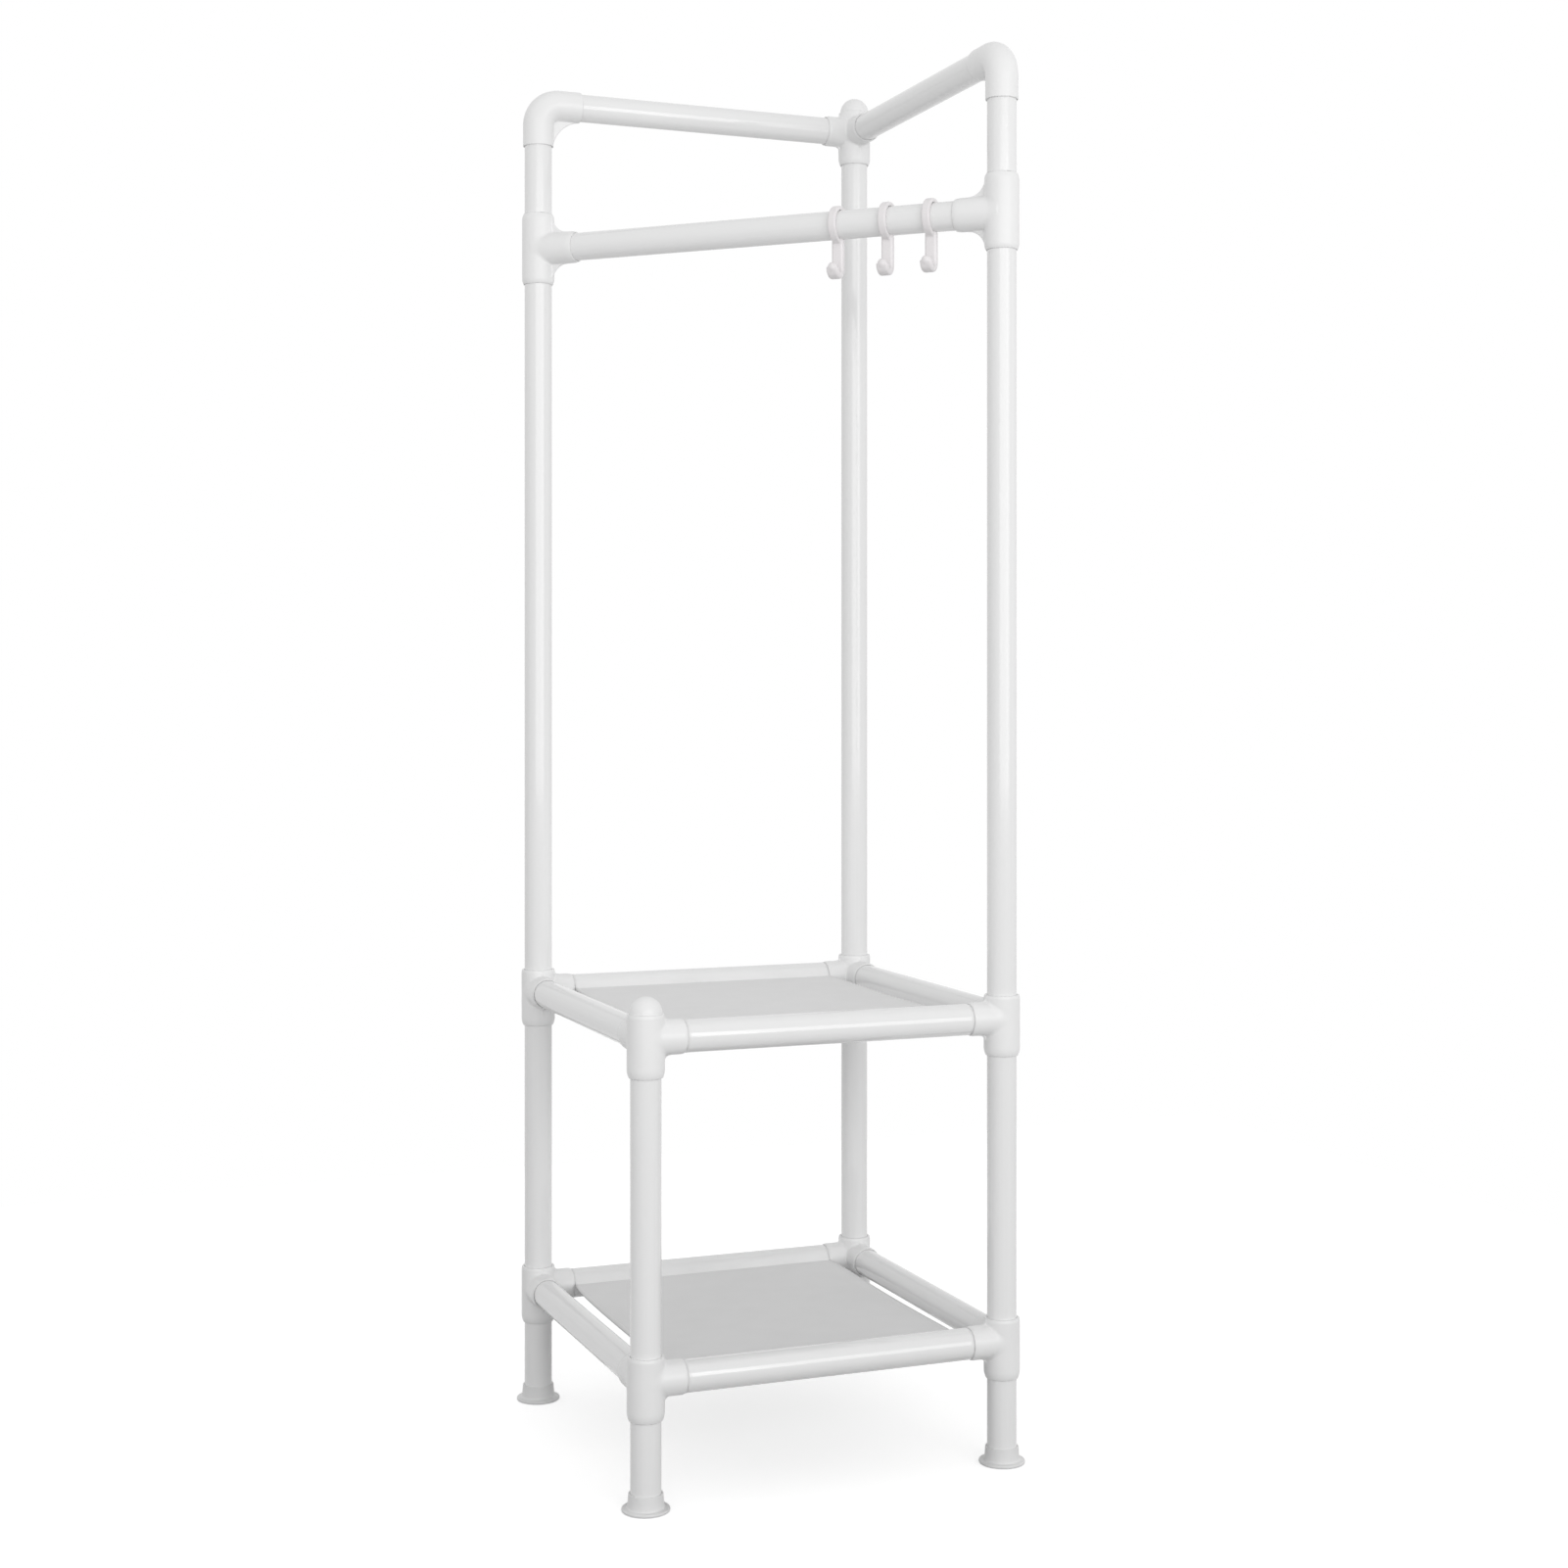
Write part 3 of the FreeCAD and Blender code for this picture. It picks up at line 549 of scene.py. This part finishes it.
tee_points, tee_faces, tee_normals = moulded_surface(
    tee_distance, (-tee_sleeve, -tee_sleeve, -tee_half), (tee_reach, tee_sleeve, tee_half), fitting_grid)
for post, degrees in (("back_left", -45), ("front_right", 135)):
    place = np.array((*middle(f"{post}_leg")[:2], middle(f"{post}_tee")[2]))
    new_piece(f"{post}_tee", "moulding", "rack_frame", fitting_plastic,
              spun(tee_points, degrees) + place, tee_faces, spun(tee_normals, degrees))


# Elbows
# A round bend from the top of each outer post to its top rail, moulded like the other fittings.
# A thin web fills the corner inside the bend.

elbow_radius = extent("back_left_elbow")[1] / 2
elbow_reach = extent("back_left_elbow")[0] - elbow_radius
elbow_stop = elbow_reach - socket_depth
elbow_stop_gap = 3 * mm
elbow_bend = elbow_stop - elbow_stop_gap
elbow_web_setback = 2.2 * mm
elbow_web_bow = 37.5 * mm
elbow_end_edge, elbow_bore_edge = 0.6 * mm, 0.5 * mm


def bend_distance(place, radius, reach):
    """Distance from a round bar up the z axis, round a quarter bend and out along x, to reach both ways."""
    x, z = place[..., 0] - elbow_bend, place[..., 2] + elbow_bend
    arc = np.hypot(np.hypot(np.minimum(x, 0), np.maximum(z, 0)) - elbow_bend, place[..., 1])
    outward = np.where(x > 0, np.hypot(place[..., 2], place[..., 1]), np.inf)
    downward = np.where(z < 0, np.hypot(place[..., 0], place[..., 1]), np.inf)
    within = np.where((x < 0) & (z > 0), arc, np.minimum(outward, downward)) - radius
    ends = np.maximum(place[..., 0], -place[..., 2]) - reach
    return -joined(-within, -ends, elbow_end_edge)


def elbow_distance(place):
    """The bend with its web, and then the bore round the bend and a socket at each end."""
    side = elbow_reach - elbow_web_setback
    half_turn = np.arcsin((side - elbow_radius) / np.sqrt(2) / elbow_web_bow)
    turn = np.pi / 4 + np.linspace(-half_turn, half_turn, 11)
    far = (side + elbow_radius) / 2 + elbow_web_bow * np.cos(half_turn) / np.sqrt(2)
    bow = np.stack([far - elbow_web_bow * np.cos(turn), elbow_web_bow * np.sin(turn) - far], axis=1)
    inner = elbow_bend * 0.3
    web = np.concatenate([
        [(0, -side)], bow, [(side, 0), (elbow_bend, 0), (inner, -inner), (0, -elbow_bend)]])
    plate = plate_distance(place[..., 0], place[..., 2], place[..., 1], web, web_thickness, web_edge)
    body = joined(bend_distance(place, elbow_radius, elbow_reach), plate, web_fillet)
    socket = np.array([
        (0, elbow_stop), (socket_radius, elbow_stop), (socket_radius, 2 * elbow_reach), (0, 2 * elbow_reach)])
    bore = np.minimum(bend_distance(place, bore_radius, 2 * elbow_reach), turned_distance(place, 0, socket))
    bore = np.minimum(bore, turned_distance(place * (1, 1, -1), 2, socket))
    return hollowed(body, bore, elbow_bore_edge)


elbow_points, elbow_faces, elbow_normals = moulded_surface(
    elbow_distance, (-elbow_radius, -elbow_radius, -elbow_reach), (elbow_reach, elbow_radius, elbow_radius),
    fitting_grid)
for post, degrees in (("back_left", 0), ("front_right", 90)):
    place = np.array((*middle(f"{post}_leg")[:2], middle("back_top_rail")[2]))
    new_piece(f"{post}_elbow", "moulding", "rack_frame", fitting_plastic,
              spun(elbow_points, degrees) + place, elbow_faces, spun(elbow_normals, degrees))


# Shelf cloths
# One sheet of coated white polyester on each shelf, stretched between the front and the back rail.
# Its ends go round the rails and are sewn down to the sheet, and its sides are turned under and hemmed.

# Coated plain weave: matt and a little grey, with a fine even mesh and slow drifts in tone.
# Real threads are about 0.4 mm apart, and are drawn 1.2 mm apart so that they show.
sheet_cloth, tree = new_material("woven_polyester_sheet")
weave_pitch = 1.2 * mm
waves_per_unit = 3.2
weave_scale = 1 / weave_pitch / waves_per_unit
over = add_node(tree, "ShaderNodeUVMap", uv_map="cloth").outputs["UV"]
warp = add_node(tree, "ShaderNodeTexWave", {"Vector": over, "Scale": weave_scale},
                bands_direction="X", wave_profile="SIN")
weft = add_node(tree, "ShaderNodeTexWave", {"Vector": over, "Scale": weave_scale},
                bands_direction="Y", wave_profile="SIN")
weave = add_node(tree, "ShaderNodeMath", {
    0: warp.outputs["Fac"], 1: weft.outputs["Fac"]}, operation="MULTIPLY").outputs["Value"]
slub = add_node(tree, "ShaderNodeTexNoise", {"Vector": over, "Scale": 1 / (35 * mm), "Detail": 4.0})
tone = add_node(tree, "ShaderNodeMix", {
    0: slub.outputs["Fac"], 6: linear("E8E8E8"), 7: linear("EEEEEE")}, data_type="RGBA").outputs[2]
threads = add_node(tree, "ShaderNodeMapRange", {
    "Value": weave, "To Min": 0.96, "To Max": 1.0}).outputs["Result"]
shaded = add_node(tree, "ShaderNodeMix", {0: 1.0, 6: tone, 7: threads},
                  data_type="RGBA", blend_type="MULTIPLY")
relief = add_node(tree, "ShaderNodeBump", {"Height": weave, "Strength": 0.12, "Distance": 0.08 * mm})
shader = add_node(tree, "ShaderNodeBsdfPrincipled", {
    "Base Color": shaded.outputs[2], "Roughness": 0.6, "Normal": relief.outputs["Normal"], "IOR": 1.45})
add_node(tree, "ShaderNodeOutputMaterial", {"Surface": shader.outputs["BSDF"]})

# The same cloth pulled tight round a rail: its smooth coating takes the light as the pipes do, in one line.
# Small creases vary its gloss, and their shade is painted faintly into its tone.
band_cloth, tree = new_material("smooth_coated_polyester_band")
over = add_node(tree, "ShaderNodeUVMap", uv_map="cloth").outputs["UV"]
crease_shade_and_gloss = add_node(tree, "ShaderNodeTexNoise", {"Vector": over, "Scale": 1 / (25 * mm), "Detail": 3.0})
# Faint painted shade of the creases in the band's tone
tone = add_node(tree, "ShaderNodeMix", {
    0: crease_shade_and_gloss.outputs["Fac"], 6: linear("E9E9E9"), 7: linear("EDEDED")}, data_type="RGBA").outputs[2]
gloss = add_node(tree, "ShaderNodeMapRange", {
    "Value": crease_shade_and_gloss.outputs["Fac"], "From Min": 0.3, "From Max": 0.7, "To Min": 0.07, "To Max": 0.11})
shader = add_node(tree, "ShaderNodeBsdfPrincipled", {
    "Base Color": tone, "Roughness": gloss.outputs["Result"], "IOR": 1.62})
add_node(tree, "ShaderNodeOutputMaterial", {"Surface": shader.outputs["BSDF"]})

cloth_thickness = 0.7 * mm
cloth_ease = 0.1 * mm
pocket_radius = pipe_radius + cloth_ease + cloth_thickness / 2
seam_reach = 18 * mm
seam_width = 9 * mm
sheet_lift = 2 * mm
sheet_sag, side_sag = 1.6 * mm, 0.9
side_flare = 4 * mm
hem_width = 8 * mm
half_depth = middle("upper_back_rail")[1]
pocket_overhang = 0.4 * mm
half_width = extent("upper_shelf_cloth")[0] / 2 + pocket_overhang
free_depth = half_depth - seam_reach
tuck_drop = 1.05 * cloth_thickness
tuck_gap = 0.5 * mm
sheet_steps, lead_steps, wrap_steps, tuck_steps = 60, 6, 49, 5
width_steps, hem_steps = 81, 5


def hung(across, along):
    """Where the sheet lies: x and the fall of z, from places across it and along it.

    Between the seams it is free, by 1 - (y / depth)^2. It sags there, more at its sides than in the middle,
    and its sides stand out past the ends of the pockets.
    """
    free = np.clip(1 - (along / free_depth) ** 2, 0, 1)
    sag = -sheet_sag * free * (1 + side_sag * (across / half_width) ** 4)
    return across * (1 + side_flare / half_width * (1 - (1 - free) ** 4)), sag


def pocket_path():
    """Half of the sheet's section: from the middle of the shelf to the back rail, round it, under the seam.

    The cloth leaves the sheet at the seam, meets the pipe along a tangent, goes round its far side and comes
    back along the other tangent to lie under the sheet.
    """
    grip = np.arccos(pocket_radius / np.hypot(seam_reach, sheet_lift))
    rise = np.arctan2(sheet_lift, seam_reach)
    angle = np.linspace(np.pi - rise - grip, grip - np.pi - rise, wrap_steps)
    wrap = np.stack([half_depth + pocket_radius * np.cos(angle), pocket_radius * np.sin(angle)], axis=1)
    sheet = np.stack([np.linspace(0, free_depth, sheet_steps), np.full(sheet_steps, sheet_lift)], axis=1)
    lead = np.linspace(sheet[-1], wrap[0], lead_steps)[1:-1]
    under = sheet_lift - tuck_drop
    back = np.linspace(wrap[-1], (free_depth + tuck_gap, under), lead_steps)[1:]
    tuck = np.linspace((free_depth, under), (free_depth - seam_width, under), tuck_steps)
    return np.concatenate([sheet, lead, wrap, back, tuck])


def cloth_surface(height):
    """Sheet points over width and section, their places on the flat cloth, the grid's shape, the length."""
    half = pocket_path()
    section = np.concatenate([(half * (-1, 1))[:0:-1], half])
    run = np.concatenate([[0], np.cumsum(np.linalg.norm(np.diff(section, axis=0), axis=1))])
    across = np.linspace(-half_width, half_width, width_steps)
    u, v = np.meshgrid(across, run, indexing="ij")
    y, z = np.broadcast_to(section[:, 0], u.shape), np.broadcast_to(section[:, 1], u.shape)
    x, sag = hung(u, y)
    points = np.stack([x, y, height + z + sag], axis=-1)
    return points.reshape(-1, 3), np.stack([u, v], axis=-1).reshape(-1, 2), u.shape, run[-1]


def grid_faces(rows, columns):
    """Quads of a grid of points that is open on all sides."""
    first = (np.arange(rows - 1)[:, None] * columns + np.arange(columns - 1)).ravel()
    return np.stack([first, first + columns, first + columns + 1, first + 1], axis=1)


def hem_surface(side, height):
    """Strip under one side of the sheet: the sheet's own form, a cloth's thickness lower."""
    across = side * np.linspace(half_width, half_width - hem_width, hem_steps)
    u, y = np.meshgrid(across, np.linspace(-free_depth, free_depth, sheet_steps), indexing="ij")
    x, sag = hung(u, y)
    return np.stack([x, y, height + sheet_lift + sag - cloth_thickness], axis=-1).reshape(-1, 3)


# Real thread is about 0.3 mm thick, and is drawn at 0.55 mm so that it shows
thread = 0.55 * mm
stitch = 3.4 * mm
stitch_from, stitch_to = 0.1, 0.9
stitch_rings, ring_points = 5, 6
seam_rows = (2 * mm, 7 * mm)
hem_row = half_width - hem_width + 1.5 * mm
seam_margin, hem_margin = 3 * mm, 2 * mm


def stitch_row(across, along, height):
    """Stitches in a row on the sheet: a short thread from each place to just before the next one.

    A thread is a ring of six points at each of a few places along it, r = sqrt(1 - (2 s - 1)^2) of its
    thickness, and dips into the cloth at its ends.
    """
    x, sag = hung(across, along)
    place = np.stack([x, along, height + sheet_lift + sag + cloth_thickness / 2], axis=-1)
    start, step = place[:-1], np.diff(place, axis=0)
    side = np.cross(step, (0, 0, 1))
    side /= np.linalg.norm(side, axis=1, keepdims=True)
    share = np.linspace(stitch_from, stitch_to, stitch_rings)[None, :, None, None]
    swell = np.sqrt(np.maximum(1 - np.linspace(-1, 1, stitch_rings) ** 2, 0.02))[None, :, None, None]
    turn = np.arange(ring_points)[None, None, :, None] * 2 * np.pi / ring_points
    ring = thread / 2 * swell * (np.cos(turn) * side[:, None, None] + np.sin(turn) * np.array((0, 0, 1)))
    points = start[:, None, None] + share * step[:, None, None] + ring + (0, 0, 1) * (swell - 1) * thread / 3
    shell = np.array(ring_faces(stitch_rings, ring_points, closed=False))
    first_end = np.array([(0, 5, 4, 3), (0, 3, 2, 1)])
    last_end = np.array([(0, 1, 2, 3), (0, 3, 4, 5)]) + (stitch_rings - 1) * ring_points
    quads = np.concatenate([shell, first_end, last_end])
    faces = (np.arange(len(start))[:, None, None] * stitch_rings * ring_points + quads).reshape(-1, 4)
    return points.reshape(-1, 3), faces


# Sewing thread: a matt white with flecks of painted shade where its twist turns away from the light, drawn
# coarse to show
thread_polyester, tree = new_material("twisted_polyester_thread")
place = add_node(tree, "ShaderNodeTexCoord").outputs["Object"]
twist_shade = add_node(tree, "ShaderNodeTexNoise", {"Vector": place, "Scale": 1 / (0.8 * mm), "Detail": 1.0})
# The darker DDDDDD flecks are painted shade of the twist
tone = add_node(tree, "ShaderNodeMix", {
    0: twist_shade.outputs["Fac"], 6: linear("DDDDDD"), 7: linear("E8E8E8")}, data_type="RGBA").outputs[2]
shader = add_node(tree, "ShaderNodeBsdfPrincipled", {"Base Color": tone, "Roughness": 0.5, "IOR": 1.5})
add_node(tree, "ShaderNodeOutputMaterial", {"Surface": shader.outputs["BSDF"]})


def cut_cloth(node, ending, points, faces, flat):
    """Piece of the sheet's cloth with its flat places as UV and half its thickness on either side."""
    cloth = new_piece(node, ending, "rack_frame", sheet_cloth, points, faces.tolist())
    layer = cloth.data.uv_layers.new(name="cloth")
    layer.data.foreach_set("uv", flat[faces.ravel()].astype(np.float32).ravel())
    wall = cloth.modifiers.new("thickness", "SOLIDIFY")
    wall.thickness = cloth_thickness
    wall.offset = 0
    return cloth


for shelf, height in shelf_heights.items():
    node = f"{shelf}_shelf_cloth"
    points, flat, shape, cloth_length = cloth_surface(height)
    faces = grid_faces(*shape)
    cloth = cut_cloth(node, "sheet", points, faces, flat)
    cloth.data.materials.append(band_cloth)
    pocket = np.abs(points[faces, 1]).mean(axis=1) > free_depth
    cloth.data.polygons.foreach_set("material_index", pocket.astype(np.int32))
    for side, name in ((-1, "left"), (1, "right")):
        strip = hem_surface(side, height)
        hem_faces = grid_faces(hem_steps, sheet_steps)[:, ::-side]
        cut_cloth(node, f"{name}_hem", strip, hem_faces, strip[:, :2])
    ends = np.arange(-half_width + seam_margin, half_width - seam_margin, stitch)
    sides = np.arange(-free_depth + hem_margin, free_depth - hem_margin, stitch)
    rows = [(ends, np.full(len(ends), way * (free_depth - row))) for way in (-1, 1) for row in seam_rows]
    rows += [(np.full(len(sides), way * hem_row), sides) for way in (-1, 1)]
    threads = [stitch_row(across, along, height) for across, along in rows]
    start = np.cumsum([0] + [len(row) for row, _ in threads[:-1]])
    thread_points = np.concatenate([row for row, _ in threads])
    thread_faces = np.concatenate([quads + first for (_, quads), first in zip(threads, start)])
    new_piece(node, "stitches", "rack_frame", thread_polyester,
                          thread_points, thread_faces.tolist())


# Hooks
# Three S-hooks moulded in glossy white polypropylene: a band over the bar, a stem that turns up to a ball.
# They are clipped over the hanging bar and slide along it.

# Polypropylene from a polished mould: glossier than the fittings, and the faintest pink in its white
hook_plastic = moulded_plastic(
    "moulded_gloss_polypropylene_hook", pale="EDEAEB", deep="E6E3E4", roughness=0.3, grain=1.2 * mm, ior=1.49)
bar_height = middle("hanging_bar")[2]
band, band_width, band_edge = 4.8 * mm, 9 * mm, 1.6 * mm
stem, stem_width, stem_edge = 7.5 * mm, 14 * mm, 3 * mm
stem_fillet, ball_fillet = 3 * mm, 1.5 * mm
hook_grid = 0.8 * mm
hook_clearance = 0.4 * mm
loop = pipe_radius + hook_clearance + band / 2
back_end = 7 * mm
ball = 11 * mm
throat = 9 * mm
turn_up = (throat + stem) / 2
hook_drop = 30.2 * mm
stem_end = loop + hook_drop


def strip_distance(beside, off, thickness, width, edge):
    """Distance from a strip of rounded oblong section, by how far places are from its line and plane."""
    out = np.maximum(beside - thickness / 2 + edge, 0), np.maximum(np.abs(off) - width / 2 + edge, 0)
    inside = np.minimum(np.maximum(beside - thickness / 2 + edge, np.abs(off) - width / 2 + edge), 0)
    return np.hypot(*out) + inside - edge


def hook_distance(place):
    """Band round the bar and stem below it, joined with a fillet, and the ball at the stem's end."""
    x, y, z = np.moveaxis(place, -1, 0)
    open_side = (x < 0) & (z < 0)
    ring = np.abs(np.hypot(x, z) - loop)
    tail = np.hypot(x + loop, np.maximum(-z - back_end, 0))
    over = np.where(open_side, np.minimum(tail, np.hypot(x, z + loop)), ring)
    straight = np.hypot(x, np.maximum(z + loop, 0) + np.minimum(z + stem_end, 0))
    curl = np.where(z < -stem_end, np.abs(np.hypot(x - turn_up, z + stem_end) - turn_up), np.inf)
    body = joined(strip_distance(over, y, band, band_width, band_edge),
                  strip_distance(np.minimum(straight, curl), y, stem, stem_width, stem_edge), stem_fillet)
    tip = np.sqrt((x - 2 * turn_up) ** 2 + y ** 2 + (z + stem_end) ** 2) - ball / 2
    return joined(body, tip, ball_fillet)


hook_low = (-loop - band, -stem_width, -stem_end - turn_up - stem)
hook_high = (2 * turn_up + ball, stem_width, loop + band)
hook_points, hook_faces, hook_normals = moulded_surface(hook_distance, hook_low, hook_high, hook_grid)
for name in ("left_hook", "middle_hook", "right_hook"):
    along = (middle(name)[0] - middle(name)[1]) / 2
    place = np.array((along, -along, bar_height))
    new_piece(name, "moulding", f"{name}_body", hook_plastic,
              spun(hook_points, 225) + place, hook_faces, spun(hook_normals, 225))


# Studio
# A pale floor that shows white to the camera and keeps the rack's shadow, a white surround, and soft panels:
# a broad one in front with a brighter strip in it for the line along the pipes, and a weak one to the right.


def seen_directly(tree):
    """1 for rays from the camera, from a reflection or through glass, and 0 for those that carry light."""
    rays = add_node(tree, "ShaderNodeLightPath").outputs
    mirrored = add_node(tree, "ShaderNodeMath", {0: rays["Is Camera Ray"], 1: rays["Is Glossy Ray"]},
                        operation="MAXIMUM").outputs["Value"]
    return add_node(tree, "ShaderNodeMath", {0: mirrored, 1: rays["Is Transmission Ray"]},
                    operation="MAXIMUM").outputs["Value"]


# Matt paper: its glow makes it white to the camera outside the rack's shadow, and it throws back less light
floor_material, tree = new_material("pale_studio_floor")
glow = add_node(tree, "ShaderNodeEmission", {"Color": linear("FFFFFF"), "Strength": 0.62})
matt = add_node(tree, "ShaderNodeBsdfDiffuse", {"Color": linear("D0D0D0")})
white = add_node(tree, "ShaderNodeAddShader", {0: glow.outputs["Emission"], 1: matt.outputs["BSDF"]})
dull = add_node(tree, "ShaderNodeBsdfDiffuse", {"Color": linear("A8A8A8")})
surface = add_node(tree, "ShaderNodeMixShader", {
    "Fac": seen_directly(tree), 1: dull.outputs["BSDF"], 2: white.outputs["Shader"]})
add_node(tree, "ShaderNodeOutputMaterial", {"Surface": surface.outputs["Shader"]})
floor_half, floor_drop = 1.5, 0.3 * mm
floor_corners = np.array([(-1, -1, 0), (1, -1, 0), (1, 1, 0), (-1, 1, 0)]) * floor_half - (0, 0, floor_drop)
mesh = bpy.data.meshes.new("studio_floor")
mesh.from_pydata(floor_corners, [], [(0, 1, 2, 3)])
mesh.materials.append(floor_material)
floor = bpy.data.objects.new("studio_floor", mesh)
bpy.context.scene.collection.objects.link(floor)

world = bpy.data.worlds.new("studio_surround")
world.use_nodes = True
world.node_tree.nodes.clear()
tree = world.node_tree
ambient = add_node(tree, "ShaderNodeBackground", {"Color": linear("FFFFFF"), "Strength": 0.685})
backdrop = add_node(tree, "ShaderNodeBackground", {"Color": linear("FFFFFF"), "Strength": 1.0})
mixed = add_node(tree, "ShaderNodeMixShader", {
    "Fac": seen_directly(tree), 1: ambient.outputs["Background"], 2: backdrop.outputs["Background"]})
add_node(tree, "ShaderNodeOutputWorld", {"Surface": mixed.outputs["Shader"]})
bpy.context.scene.world = world


def panel(name, azimuth, distance, height, width, tall, power):
    """Upright soft panel at an azimuth from the front, to the right, that faces the rack."""
    lamp = bpy.data.lights.new(name, "AREA")
    lamp.shape = "RECTANGLE"
    lamp.size = width
    lamp.size_y = tall
    lamp.energy = power
    light = bpy.data.objects.new(name, lamp)
    angle = np.radians(azimuth)
    light.location = (distance * np.sin(angle), -distance * np.cos(angle), height)
    light.rotation_euler = (np.pi / 2, 0, angle)
    bpy.context.scene.collection.objects.link(light)


panel("front_panel", azimuth=-4, distance=4.0, height=1.45, width=6.0, tall=1.9, power=72)
panel("highlight_strip", azimuth=17, distance=3.9, height=1.45, width=0.25, tall=1.9, power=2.5)
panel("right_panel", azimuth=75, distance=3.0, height=1.2, width=2.0, tall=2.0, power=2)

# The camera of the photograph, level and upright, found from the posts, the rails and the feet in it
camera_data = bpy.data.cameras.new("photo_camera")
image_px, focal_px = 1601, 2422.07
centre_px, horizon_px = 806.8, 694.7
camera_place, camera_turn = (-0.9569, -2.4983, 0.8441), -0.3784
camera_data.sensor_width = 36.0
camera_data.lens = camera_data.sensor_width * focal_px / image_px
camera_data.shift_x = (image_px / 2 - centre_px) / image_px
camera_data.shift_y = (horizon_px - image_px / 2) / image_px
camera = bpy.data.objects.new("photo_camera", camera_data)
camera.location = camera_place
camera.rotation_euler = (np.pi / 2, 0, camera_turn)
bpy.context.scene.collection.objects.link(camera)
bpy.context.scene.camera = camera
bpy.context.scene.view_settings.view_transform = "Standard"
